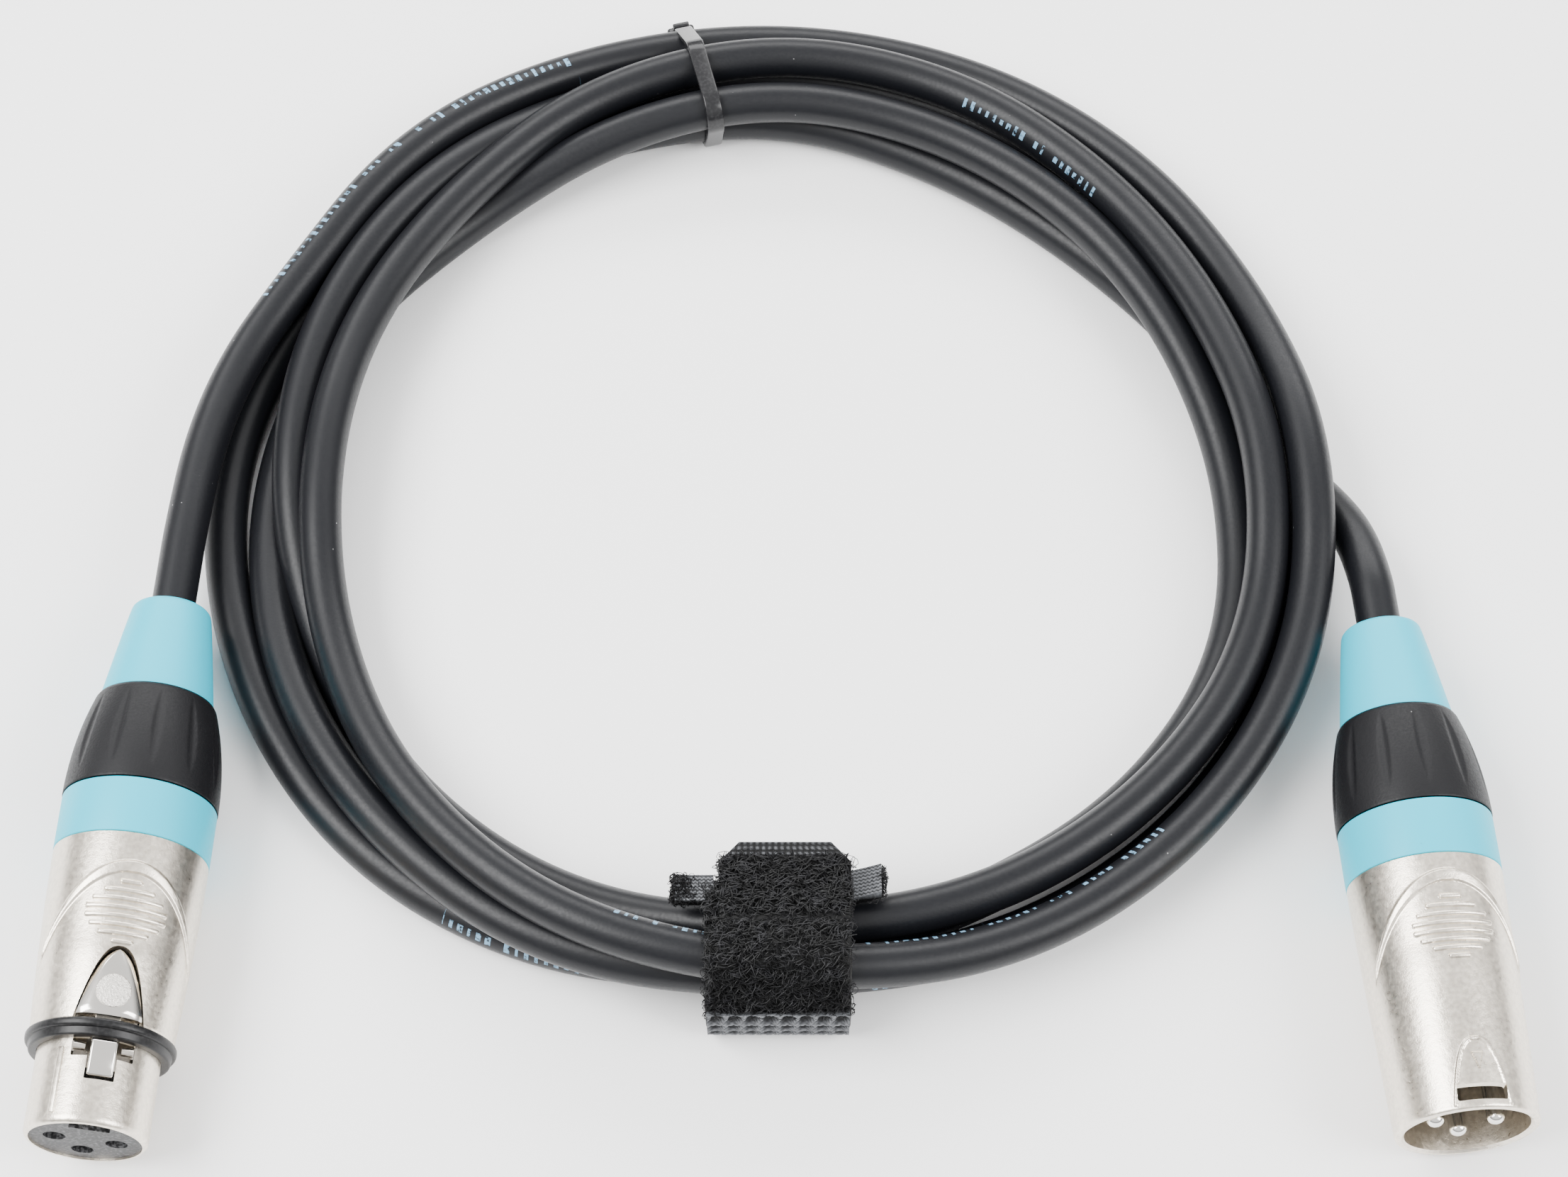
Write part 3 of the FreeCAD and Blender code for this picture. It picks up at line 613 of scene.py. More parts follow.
def evenly(route, step):
    """Points at even distances along a route, and those distances."""
    gone = np.concatenate([[0], np.cumsum(np.linalg.norm(np.diff(route, axis=0), axis=1))])
    at = np.linspace(0, gone[-1], int(gone[-1] / step) + 1)
    return np.stack([np.interp(at, gone, route[:, k]) for k in range(3)], -1), at


def build_cable():
    """One unbroken jacket from boot to boot.

    The ring at distance s is centre + R (cos a over + sin a outwards), where outwards is the
    level direction to the left of the cable and over is at right angles to it and the cable.
    """
    look = bpy.context.scene.cable_coil_cable
    route = nurbs_route("cable_route", cable_points())
    path, at = evenly(route, 0.001)
    along = np.gradient(path, axis=0)
    along /= np.linalg.norm(along, axis=1, keepdims=True)
    outwards = np.cross([0, 0, 1.0], along)
    outwards /= np.linalg.norm(outwards, axis=1, keepdims=True)
    over = np.cross(along, outwards)
    sides = 24
    turn = np.arange(sides) * 2 * np.pi / sides
    spoke = over[:, None] * np.cos(turn)[:, None] + outwards[:, None] * np.sin(turn)[:, None]
    mesh = Shape().grid(path[:, None] + spoke * look.diameter / 2).mesh("cable", 60.0)

    # Places of the painted highlights: for each point of the jacket, its distance along the cable and its distance
    # round it from a highlight line (50 where there is none).
    swing = np.unwrap(np.arctan2(path[:, 1] / MM - COIL_Y, -(path[:, 0] / MM - COIL_X)))
    degrees = np.degrees(swing)
    degrees -= 360.0 * round(degrees[len(path) // 40] / 360.0)
    mark = np.full((len(path), sides, 3), 50.0)
    mark[:, :, 0] = at[:, None] / MM
    for turn_number, first, last, side_first, side_last in PAINTED_HIGHLIGHTS:
        share = (degrees - 360 * turn_number - first) / (last - first)
        rows = (share > 0) & (share < 1)
        side = side_first + (side_last - side_first) * share[rows, None]
        off = (np.degrees(turn) - side + 180) % 360 - 180
        mark[rows, :, 1] = np.radians(off) * CABLE_R
    flat = np.concatenate([mark.reshape(-1, 3), np.full((2, 3), 50.0)])
    mesh.attributes.new("mark", "FLOAT_VECTOR", "POINT").data.foreach_set("vector", flat.ravel())
    obj = show(new_object("cable", mesh), jacket_paint(), "root", "cable_jacket",
               "cable_coil", "cable_lead_socket", "cable_lead_plug")


# ---- connectors --------------------------------------------------------------------------
def build_sleeves(side):
    """Rubber boot, with a gently swelling flank, and coding ring: turned outlines."""
    place = connector_place(side)
    flank = [(x, BOOT_TIP_R + (BOOT_R - BOOT_TIP_R) * (x / BOOT_END) ** 0.93, 0)
             for x in np.linspace(2, BOOT_END, 12)]
    boot = softened([(0.0, BOOT_BORE_R, 0), (0.0, BOOT_TIP_R, 0.8)] + flank
                    + [(BOOT_ROOT, BOOT_R, 0), (BOOT_ROOT, BOOT_SEAT_R, 0),
                       (12.0, BOOT_SEAT_R, 0), (9.0, BOOT_BORE_R, 0)])
    mesh = Shape().lathe(boot).laid(place).mesh(side + "_boot_cover")
    show(new_object(side + "_boot_cover", mesh), rubber_paint(), side + "_boot_body",
         "boot_rubber", side + "_boot")
    ring = softened([(COLLAR_END + 0.12, NECK_R, 0), (COLLAR_END + 0.12, RING_R, 0.28),
                     (RING_END - 0.02, RING_R, 0.16), (RING_END - 0.02, NECK_R, 0)])
    mesh = Shape().lathe(ring, 160).laid(place).mesh(side + "_code_ring")
    show(new_object(side + "_code_ring", mesh), rubber_paint(), "root", "ring_plastic",
         side + "_colour_ring")


def build_collar(side):
    """Barrel grip. Its radius is r(x) less lens-shaped flutes, deep (1 - v^2)(1 - u^2)^1.5."""
    place = connector_place(side)
    x = np.concatenate([[BOOT_END, BOOT_END + 0.08], np.linspace(15.0, COLLAR_END - 0.12, 90),
                        [COLLAR_END, COLLAR_END]])
    t = np.clip((x - 14.6) / (COLLAR_END - 14.6), 0, 1)
    r = COLLAR_BACK_R + COLLAR_SWELL * (1 - (1 - t) ** 2.1)
    back_seat, back_edge, front_edge = 7.76, 7.98, 10.32
    r[:2] = back_seat, back_edge
    r[-2:] = front_edge, COLLAR_SEAT_R
    turn = np.linspace(0, 2 * np.pi, 300, endpoint=False)
    v = np.clip((x - FLUTE_MIDDLE) / FLUTE_REACH, -1, 1)[:, None]
    lens = 1 - v * v
    pitch = 2 * np.pi / FLUTES
    off = ((turn[None] + pitch / 2) % pitch - pitch / 2) * 9.8
    u = off / (FLUTE_HALF * lens ** 0.7 + 1e-6)
    flute = FLUTE_DEEP * lens * np.clip(1 - u * u, 0, None) ** 1.5
    radius = r[:, None] - flute
    inner = np.array([(SPIGOT_END, COLLAR_SEAT_R), (SPIGOT_END, COLLAR_BORE_R),
                      (BOOT_ROOT + 0.3, COLLAR_BORE_R), (BOOT_ROOT + 0.3, back_seat)])
    xs = np.concatenate([x, inner[:, 0]])[:, None] + 0 * turn
    rs = np.concatenate([radius, inner[:, 1:] + 0 * turn])
    points = np.stack([xs, -rs * np.sin(turn), rs * np.cos(turn)], -1)
    mesh = Shape().grid(points, wrap_rows=True).laid(place).mesh(side + "_collar_grip", 50)
    show(new_object(side + "_collar_grip", mesh), collar_paint(), side + "_collar_body",
         "collar_plastic", side + "_collar")


def shell_relief(x, turn, arch_at, ribs_at, front_line):
    """Height over the sleeve at distance x and angle turn from the top.

    A crescent ridge x = arch + reach (angle / turn)^2, its width falling to nothing at its
    ends, with a shallow hollow inside it; round-ended ribs; and for the plug a raised line
    x = start + reach |u|^2.6 with a small triangle.
    """
    side = SLEEVE_R * turn
    share = np.clip(np.abs(np.degrees(turn)) / ARCH_TURN, 0, 1)
    edge = arch_at + ARCH_REACH * share ** 2
    slope = np.hypot(1.0, 2 * ARCH_REACH * share / (SLEEVE_R * np.radians(ARCH_TURN)))
    inside = (x - edge) / slope
    width = ARCH_WIDTH * (1 - share ** 1.6) + 1e-3
    ridge = smooth(-0.35, 0.1, inside) * (1 - smooth(width - 0.25, width, inside))
    height = ARCH_HIGH * ridge * smooth(0.0, 0.12, 1 - share)
    hollow = smooth(0, width, inside) * (1 - smooth(8.5, 13.0, x - arch_at)) * (1 - share)
    height = height - ARCH_HOLLOW * hollow
    for i in range(RIBS):
        row = i - (RIBS - 1) / 2
        half = RIB_HALF * (1 - abs(2 * row / RIBS) ** 1.8)
        over = np.clip(np.abs(side) - half, 0, None)
        away = np.hypot(over, x - (ribs_at + RIB_PITCH * row)) / RIB_ROUND
        height = height + RIB_HIGH * np.sqrt(np.clip(1 - away ** 2, 0, None)) ** 0.8
    if front_line:
        u = np.abs(side) / LINE_HALF
        edge = LINE_START + LINE_REACH * u ** 2.6
        away = np.abs(x - edge) / np.hypot(1.0, 2.6 * LINE_REACH * u ** 1.6 / LINE_HALF)
        line = (1 - smooth(0.12, 0.3, away)) * (u < 1.05) * (x < LINE_END)
        narrow = WEDGE_HALF * (WEDGE_END - x) / (WEDGE_END - WEDGE_START)
        wedge = (x > WEDGE_START) & (np.abs(side) < narrow) & (x < WEDGE_END)
        height = height + LINE_HIGH * np.maximum(line, wedge)
    return height


def shell_mesh(outer, inner, relief, fine_spans):
    """Closed sleeve whose outer radius carries the relief; rows are close where it is fine."""
    xs = set(np.round(outer[:, 0], 3))
    for start, end, step in fine_spans:
        xs |= set(np.round(np.arange(start, end, step), 3))
    x = np.array(sorted(xs))
    r = np.interp(x, outer[:, 0], outer[:, 1])
    turn = np.radians(np.concatenate([np.arange(-84, 84, 0.62), np.arange(84, 276, 4.0)]))
    wrapped = (turn + np.pi) % (2 * np.pi) - np.pi
    lift = shell_relief(x[:, None], wrapped[None], *relief)
    lift = lift * smooth(RING_END + 0.1, RING_END + 1.2, x)[:, None]
    radius = np.concatenate([r[:, None] + lift, inner[:, 1:] + 0 * turn])
    x = np.concatenate([x, inner[:, 0]])[:, None] + 0 * turn
    return Shape().grid(np.stack([x, -radius * np.sin(turn), radius * np.cos(turn)], -1),
                        wrap_rows=True)


def build_plug_shell():
    """Barrel with a thin rounded rim, the relief and the latch's window."""
    t = np.linspace(0, 1, 24)
    start, bend = RING_END + 0.5, 0.4
    end = PLUG_LENGTH - bend
    taper = SLEEVE_R - PLUG_FRONT_R
    sleeve = np.stack([start + (end - start) * t, SLEEVE_R - taper * t ** 1.2], -1)
    rim = np.stack([end + bend * np.sin(t[::6] * np.pi / 2),
                    PLUG_FRONT_R - bend * (1 - np.cos(t[::6] * np.pi / 2))], -1)
    outer = np.concatenate([[(COLLAR_END + 0.1, NECK_R), (RING_END + 0.001, NECK_R),
                             (RING_END + 0.002, SLEEVE_R - 0.15), (RING_END + 0.15, SLEEVE_R)],
                            sleeve, rim])
    inner = np.array([(PLUG_LENGTH, 8.45), (PLUG_LENGTH - 0.3, SLEEVE_BORE_R),
                      (COLLAR_END + 0.1, SLEEVE_BORE_R)])
    shape = shell_mesh(outer, inner, (PLUG_ARCH, PLUG_RIBS, True),
                       [(39.0, 53.0, 0.1), (62.4, 71.3, 0.16)])
    obj = new_object("plug_barrel", shape.mesh("plug_barrel"))
    window = Shape().soft_box((68.6, -3.25, 5.0), (70.7, 3.25, 12.0), 0.3)
    carve(obj, [window])
    obj.data.transform(place_matrix("plug"))
    show(obj, nickel_paint(), "root", "shell_nickel", "plug_shell")


def place_matrix(side):
    """The connector's place as a matrix, for a mesh that is finished in millimetres."""
    place = connector_place(side)
    tip = place([0, 0, 0])
    columns = [place(axis) - tip for axis in np.eye(3)]
    rows = np.column_stack(columns + [tip])
    return Matrix([*map(list, rows), [0, 0, 0, 1]])


def tab_outline(grow, front, rows=40):
    """Stations and half widths of the latch tab's parabola."""
    t = np.linspace(0, 1, rows) ** 2
    x = TAB_APEX - grow + (front - TAB_APEX + grow) * t
    return x, (TAB_HALF + grow) * (t + 1e-5) ** 0.42


def tab_prism(grow, front, low, high):
    x, half = tab_outline(grow, front)
    loop = [(-1, low), (1, low), (1, high), (-1, high)]
    points = np.array([[(a, s * h, z) for s, z in loop] for a, h in zip(x, half)])
    return Shape().grid(points)


def build_socket_shell():
    """Sleeve and nose, with the tab's opening, the T-shaped slot and the guide rib."""
    t = np.linspace(0, 1, 20)
    drop = (SLEEVE_R - SLEEVE_FRONT_R) * t ** 1.6
    start, end = RING_END + 0.5, SEAL_START - 0.25
    sleeve = np.stack([start + (end - start) * t, SLEEVE_R - drop], -1)
    back = [(COLLAR_END + 0.1, NECK_R), (RING_END + 0.001, NECK_R),
            (RING_END + 0.002, SLEEVE_R - 0.15), (RING_END + 0.15, SLEEVE_R)]
    nose = [(SEAL_START - 0.02, SLEEVE_FRONT_R - 0.15), (SEAL_START, NOSE_R),
            (SEAL_END + 0.2, NOSE_R), (SOCKET_LENGTH - 0.7, NOSE_R),
            (SOCKET_LENGTH - 0.35, NOSE_R - 0.08), (SOCKET_LENGTH - 0.1, NOSE_R - 0.27),
            (SOCKET_LENGTH, NOSE_R - 0.45)]
    outer = np.concatenate([back, sleeve, nose])
    inner = np.array([(SOCKET_LENGTH, NOSE_BORE_R), (56.0, NOSE_BORE_R), (56.0, SLEEVE_BORE_R),
                      (COLLAR_END + 0.1, SLEEVE_BORE_R)])
    shape = shell_mesh(outer, inner, (SOCKET_ARCH, SOCKET_RIBS, False),
                       [(40.6, 54.4, 0.1), (54.4, 75.8, 0.8)])
    obj = new_object("socket_sleeve", shape.mesh("socket_sleeve"))
    cutters = [tab_prism(0.32, SEAL_START - 0.1, 6.0, 13.0),
               Shape().soft_box((59.4, -NUB_HALF - 0.25, 5.5), (70.4, NUB_HALF + 0.25, 9.2), 0.15),
               Shape().soft_box((64.9, -3.95, 5.5), (67.4, 3.95, 9.6), 0.2)]
    carve(obj, cutters)
    obj.data.transform(place_matrix("socket"))
    show(obj, nickel_paint(), "root", "shell_nickel", "socket_shell")
    rib = Shape().soft_box((66.2, -0.45, 7.4), (75.0, 0.45, 8.17), 0.2)
    lean = math.radians(40)
    turned = np.array([[1, 0, 0], [0, math.cos(lean), math.sin(lean)],
                       [0, -math.sin(lean), math.cos(lean)]])
    rib.laid(lambda v: v @ turned).laid(connector_place("socket"))
    show(new_object("socket_guide_rib", rib.mesh("socket_guide_rib")), nickel_paint(), "root",
         "shell_nickel")


def build_latch():
    """Domed polished tab, arm and nub, and a round textured pad.

    The tab's top is 8.75 + 0.5 (1 - |u|^2.5) - 0.35 |u|^7 and a crest that grows forwards.
    """
    place = connector_place("socket")
    x, half = tab_outline(0.0, TAB_FRONT, 46)
    u = np.linspace(-1, 1, 25)
    rows = []
    for a, h in zip(x, half):
        y = u * h
        crest = 0.32 * math.sin(min(1.0, (a - TAB_APEX) / 5.0) * math.pi / 2)
        top = 8.75 + crest + 0.5 * (1 - np.abs(u) ** 2.5) - 0.35 * np.abs(u) ** 7 - 0.015 * y * y
        top = top - 0.35 * max(0.0, (a - 61.4) / 0.8) ** 2
        upper = np.stack([0 * y + a, y, top], -1)
        lower = np.stack([0 * y + a, y, 0 * y + 7.6], -1)[::-1]
        rows.append(np.concatenate([upper, lower]))
    shape = Shape().grid(np.array(rows))
    shape.soft_box((59.9, -NUB_HALF, 6.6), (NUB_START + 0.6, NUB_HALF, 7.3), 0.15)
    nub = Shape().soft_box((NUB_START, -NUB_HALF, 6.4), (NUB_END, NUB_HALF, NUB_TOP), 0.28)
    ramp_start, ramp_slope = 68.2, 0.55
    corners = nub.verts[0].copy()
    raised = corners[:, 2] > 8
    corners[:, 2] -= ramp_slope * np.clip(corners[:, 0] - ramp_start, 0, None) * raised
    shape.take(corners, nub.quads[0], nub.tris[0])
    shape.laid(place)
    show(new_object("socket_latch_tab", shape.mesh("socket_latch_tab", 40)), polished_paint(),
         "socket_latch_body", "latch_nickel", "socket_latch")
    outline = softened([(8.6, 0.001, 0), (8.6, PAD_R, 0), (9.72, PAD_R, 0.18), (9.72, 0.001, 0)])
    pad = Shape().lathe(outline, 72)
    pad.laid(lambda v: np.stack([PAD_X + v[:, 2], v[:, 1], v[:, 0]], -1)).laid(place)
    show(new_object("socket_latch_pad", pad.mesh("socket_latch_pad")), pad_paint(),
         "socket_latch_body", "latch_nickel")


def build_seal():
    """Rubber ring with a lip, between the sleeve and the nose."""
    outline = softened([(SEAL_START + 0.02, 8.0, 0), (SEAL_START + 0.02, 9.8, 0.45),
                        (SEAL_START + 1.15, 9.72, 0.45), (SEAL_START + 1.15, 9.25, 0.12),
                        (SEAL_END, 9.1, 0.3), (SEAL_END, 8.0, 0)])
    mesh = Shape().lathe(outline, 160).laid(connector_place("socket")).mesh("socket_seal")
    rubber = plain_paint("seal_rubber", (0.004, 0.004, 0.0045), 0.36, 0.0, 0.4)
    show(new_object("socket_seal", mesh), rubber, "root", "seal_rubber", "socket_seal_ring")


# Finish of the CAD's own pieces: colour, roughness, metal, speckle.
CAD_LOOKS = {
    "chuck_plastic": ((0.03, 0.03, 0.03), 0.45, 0.0, 0.3),
    "cable_jacket": ((0.014, 0.0145, 0.017), 0.4, 0.0, 0.3),
    "bare_copper": ((0.75, 0.36, 0.2), 0.3, 1.0, 0.2),
    "red_insulation": ((0.55, 0.03, 0.03), 0.3, 0.0, 0.1),
    "white_insulation": ((0.8, 0.8, 0.8), 0.3, 0.0, 0.05),
    "contact_silver": ((0.86, 0.84, 0.8), 0.14, 1.0, 0.05),
    "spring_steel": ((0.62, 0.58, 0.52), 0.24, 1.0, 0.2),
    "insert_plastic": ((0.01, 0.01, 0.011), 0.5, 0.0, 4.0),
}


def build_inner():
    """The CAD's own pieces that stay in view: inserts, pins, contacts, cores and so on."""
    slots = {s["node"]: s["material_slot"] for s in frame["record"]["subparts"]}
    for name, obj in frame["nodes"].items():
        if slots[name] in CAD_LOOKS and not obj.hide_render:
            obj.data.materials.clear()
            obj.data.materials.append(plain_paint(slots[name], *CAD_LOOKS[slots[name]]))
            obj.data.polygons.foreach_set("use_smooth", np.ones(len(obj.data.polygons), bool))
            obj.data.set_sharp_from_angle(angle=math.radians(30))


# ---- ties --------------------------------------------------------------------------------
def belt_path(cores, gap, step=0.12):
    """Line pulled round a bundle at a gap from its cable centres, and its outward normals."""
    cores = [np.array(c, float) for c in cores]
    middle = np.mean(cores, axis=0)
    corners = []
    for k, core in enumerate(cores):
        after = cores[(k + 1) % len(cores)]
        edge = (after - core) / np.linalg.norm(after - core)
        normal = np.array([edge[1], -edge[0]])
        if np.dot(normal, (core + after) / 2 - middle) < 0:
            normal = -normal
        corners.append((core, after, normal))
    points, normals = [], []
    for (_, _, before), (core, after, normal) in zip([corners[-1]] + corners[:-1], corners):
        a, b = math.atan2(before[1], before[0]), math.atan2(normal[1], normal[0])
        b = a + (b - a + math.pi) % (2 * math.pi) - math.pi
        for t in np.linspace(a, b, max(2, int(abs(b - a) * gap / step))):
            normals.append((math.cos(t), math.sin(t)))
            points.append(core + gap * np.array(normals[-1]))
        count = max(2, int(np.linalg.norm(after - core) / step))
        for t in np.linspace(0, 1, count)[1:-1]:
            points.append(core + (after - core) * t + gap * normal)
            normals.append(tuple(normal))
    return np.array(points), np.array(normals)


def belt(shape, cores, thick, width, bevel):
    """Closed band of a rounded rectangular section round a bundle."""
    line, normal = belt_path(cores, CABLE_R)
    quarter = np.linspace(0, np.pi / 2, 4)
    section = []
    for k, (w, h) in enumerate([(1, 1), (-1, 1), (-1, 0), (1, 0)]):
        for q in quarter + k * np.pi / 2:
            side = w * (width / 2 - bevel) + bevel * math.cos(q)
            out = (thick - bevel if h else bevel) + bevel * math.sin(q)
            section.append((side, out))
    section = np.array(section)
    out = line[:, None] + normal[:, None] * section[None, :, 1:]
    side = np.broadcast_to(section[:, 0], out.shape[:2])
    return shape.grid(np.stack([out[:, :, 0], side, out[:, :, 1]], -1), wrap_rows=True)


def build_zip_tie():
    """Nylon band pulled tight, with a low head and a stub end."""
    shape = belt(Shape(), TIE_CORES, TIE_THICK, TIE_WIDTH, 0.22)
    shape.soft_box((80.0, -2.1, 0.3), (82.7, 2.1, 4.0), 0.5)
    shape.soft_box((81.3, -1.25, 3.6), (82.2, 1.25, 5.4), 0.2)
    shape.laid(ring_place(TIE_ANGLE, TIE_SLANT))
    show(new_object("tie", shape.mesh("tie")),
         plain_paint("black_nylon", (0.011, 0.011, 0.012), 0.2, 0.0, 0.3),
         "root", "tie_nylon", "zip_tie")


def loops(rng, feet, outward, sideways, radius, thin, points=9):
    """Curly yarn: open rings of differing size that stand on points of a surface."""
    count = len(feet)
    t = np.linspace(-0.25, 0.82, points)[None, :, None] * 2 * np.pi
    start = rng.uniform(0, 2 * np.pi, (count, 1, 1))
    size = radius * rng.uniform(0.7, 1.35, (count, 1, 1))
    lean = rng.normal(0, 0.55, (count, 3))
    up = outward + 0.75 * lean
    up /= np.linalg.norm(up, axis=1, keepdims=True)
    away = sideways + 0.9 * rng.normal(0, 1, (count, 3))
    away -= up * np.einsum("ij,ij->i", away, up)[:, None]
    away /= np.linalg.norm(away, axis=1, keepdims=True)
    third = np.cross(up, away)
    lift = (1 - np.cos(t + 0 * start)) * size
    swing = np.sin(t) * size
    drift = (t / 6.3) * size * rng.uniform(-0.8, 0.8, (count, 1, 1))
    wave = 0.12 * size * np.sin(3 * t + start)
    paths = feet[:, None] + up[:, None] * (lift + wave) * 0.62 + away[:, None] * swing
    return paths + third[:, None] * drift, thin * rng.uniform(0.8, 1.2, count)


def build_wrap():
    """Strap base, curly pile, knitted mesh strip, slotted head with knit wings, free end."""
    look = bpy.context.scene.cable_coil_wrap
    place = ring_place(WRAP_ANGLE)
    rng = np.random.default_rng(7)
    base = belt(Shape(), WRAP_CORES, WRAP_THICK - 0.35, WRAP_WIDTH, 0.3).laid(place)
    show(new_object("wrap_base", base.mesh("wrap_base")), fabric_paint("wrap_cloth", 0.001),
         "root", "wrap_fabric", "wrap_band")

    line, normal = belt_path(WRAP_CORES, CABLE_R + WRAP_THICK - 0.45, 0.05)
    angle = np.degrees(np.arctan2(normal[:, 1], normal[:, 0]))
    top = (angle > 10) & (angle < 168)
    line, normal = line[top], normal[top]
    pick = rng.integers(0, len(line), look.loop_count)
    width = rng.uniform(-WRAP_WIDTH / 2 + 0.1, WRAP_WIDTH / 2 - 0.1, look.loop_count)
    feet = np.stack([line[pick, 0], width, line[pick, 1]], -1)
    outward = np.stack([normal[pick, 0], 0 * width, normal[pick, 1]], -1)
    sideways = np.tile([0.0, 1.0, 0.0], (look.loop_count, 1))
    paths, radii = loops(rng, feet, outward, sideways, look.loop_radius / MM, YARN_R)
    paths[:, :, 2] = np.maximum(paths[:, :, 2], 0.1)
    pile = Shape().strands(paths, radii).laid(place)
    show(new_object("wrap_pile", pile.mesh("wrap_pile", 80)), fabric_paint("pile_yarn", 0.008),
         "root", "wrap_fabric")
    build_mesh_strip(place)
    build_head(place, rng)
    build_tail(place, rng)


def cloth(points, normals, height, yarn, thick):
    """Thin closed cloth: a grid raised by a height, over the same grid moved back."""
    front = points + normals * height[..., None]
    back = points - normals * thick
    shape = Shape().grid(np.concatenate([front, back[:, ::-1]], 1))
    both = np.concatenate([yarn, 0 * yarn], 1)
    return shape, np.concatenate([both.ravel(), [0.0, 0.0]])


def add_yarn(mesh, values):
    """Store how pale the yarn is at each point of a mesh."""
    mesh.attributes.new("yarn", "FLOAT", "POINT").data.foreach_set("value", values)


def build_mesh_strip(place):
    """Strip of knitted hook mesh on the outer flank: 8 by 4 dark pockets between pale yarn."""
    line, normal = belt_path(WRAP_CORES, CABLE_R + WRAP_THICK, 0.1)
    angle = np.degrees(np.arctan2(normal[:, 1], normal[:, 0]))
    flank = (angle > -62) & (angle < 19) & (line[:, 0] > 78)
    line, normal = line[flank], normal[flank]
    order = np.argsort(line[:, 1])
    line, normal = line[order], normal[order]
    gone = np.concatenate([[0], np.cumsum(np.linalg.norm(np.diff(line, axis=0), axis=1))])
    v = np.linspace(0, gone[-1], 48)
    line = np.stack([np.interp(v, gone, line[:, k]) for k in (0, 1)], -1)
    normal = np.stack([np.interp(v, gone, normal[:, k]) for k in (0, 1)], -1)
    u = np.linspace(-WRAP_WIDTH / 2 + 0.2, WRAP_WIDTH / 2 - 0.2, 190)
    points = np.stack([line[:, None, 0] + 0 * u, u + 0 * line[:, :1], line[:, None, 1] + 0 * u], -1)
    normals = np.stack([normal[:, None, 0] + 0 * u, 0 * u + 0 * line[:, :1],
                        normal[:, None, 1] + 0 * u], -1)
    across = (u - u[0]) / (u[-1] - u[0]) * 8
    along = (v / v[-1] * 4)[:, None]
    bend = 0.12 * np.sin(2 * np.pi * along)
    du = (across[None] + bend) % 1 - 0.5
    dv = along % 1 - 0.5
    pocket = np.exp(-((du / 0.36) ** 4 + (dv / 0.36) ** 4))
    stitch = 0.5 + 0.5 * np.sin(2 * np.pi * (along * 5 + 2.0 * np.abs(du)))
    height = 0.55 - 0.95 * pocket + 0.14 * stitch * (1 - pocket)
    shape, values = cloth(points, normals, height, (1 - pocket) ** 2 * (0.2 + 0.8 * stitch), 0.5)
    mesh = shape.laid(place).mesh("wrap_mesh", 70)
    add_yarn(mesh, values)
    show(new_object("wrap_mesh", mesh), knit_paint("hook_mesh"), "root", "wrap_fabric")


def wing(shape, lows, highs, lift, thick, rows=34, columns=60):
    """One side of the head: a knitted plate in the head's plane, lifted at its outer end."""
    x = np.linspace(lows[0], highs[0], rows)[:, None]
    y = np.linspace(lows[1], highs[1], columns)[None]
    rise = lift * ((y - lows[1]) / (highs[1] - lows[1])) ** 1.5
    rib = 0.5 + 0.5 * np.sin(2 * np.pi * (x / 0.62 + 0.18 * np.sin(2 * np.pi * y / 0.55)))
    points = np.stack(np.broadcast_arrays(x, y, rise + thick + 0 * x), -1)
    normals = np.zeros(points.shape)
    normals[..., 2] = 1.0
    front = points + normals * (0.12 * rib)[..., None]
    back = points - normals * thick
    shape.grid(np.concatenate([front, back[:, ::-1]], 1))
    return np.concatenate([np.concatenate([rib * 0.75, 0 * rib], 1).ravel(), [0.0, 0.0]])


def head_place(place, slope, at):
    """Function that tilts points about the side axis and moves them to a place on the ring."""
    lean = math.radians(slope)
    turned = np.array([[math.cos(lean), 0, math.sin(lean)], [0, 1, 0],
                       [-math.sin(lean), 0, math.cos(lean)]])
    shift = np.array([at[0], 0, at[1]])
    return lambda v: place(np.asarray(v) @ turned + shift)


def build_head(place, rng):
    """Slotted wider end: a flat knitted wing on the left, a raised flap on the right."""
    laid = head_place(place, WING_SLOPE, HEAD_AT)
    half = WING_HALF
    shape = Shape()
    left = wing(shape, (-half, -HEAD_WIDTH / 2), (half, -WRAP_WIDTH / 2 + 1.0), 0.0, 0.9)
    right = wing(shape, (-half, WRAP_WIDTH / 2 - 3.0), (half * 1.2, HEAD_WIDTH / 2), 1.9, 1.2)
    mesh = shape.laid(laid).mesh("wrap_wings", 60)
    add_yarn(mesh, np.concatenate([left, right]))
    show(new_object("wrap_wings", mesh), knit_paint("knit"), "root", "wrap_fabric", "wrap_head")
    count = 520
    side = rng.uniform(-1, 1, count)
    side = np.sign(side) * np.abs(side) ** 0.5
    feet = np.stack([rng.uniform(-half, half, count),
                     np.sign(side) * (WRAP_WIDTH / 2 + 4.2 * np.abs(side) ** 0.7),
                     rng.uniform(-0.2, 1.1, count) + 1.8 * np.clip(side, 0, 1)], -1)
    outward = np.tile([0.2, 0.0, 0.8], (count, 1))
    outward[:, 1] = np.sign(side) * 0.8
    paths, radii = loops(rng, feet, outward, np.tile([1.0, 0, 0], (count, 1)), 0.55, FUZZ_R)
    fuzz = Shape().strands(paths, radii).laid(laid)
    show(new_object("wrap_fuzz", fuzz.mesh("wrap_fuzz", 80)), fabric_paint("pile_yarn", 0.008),
         "root", "wrap_fabric")


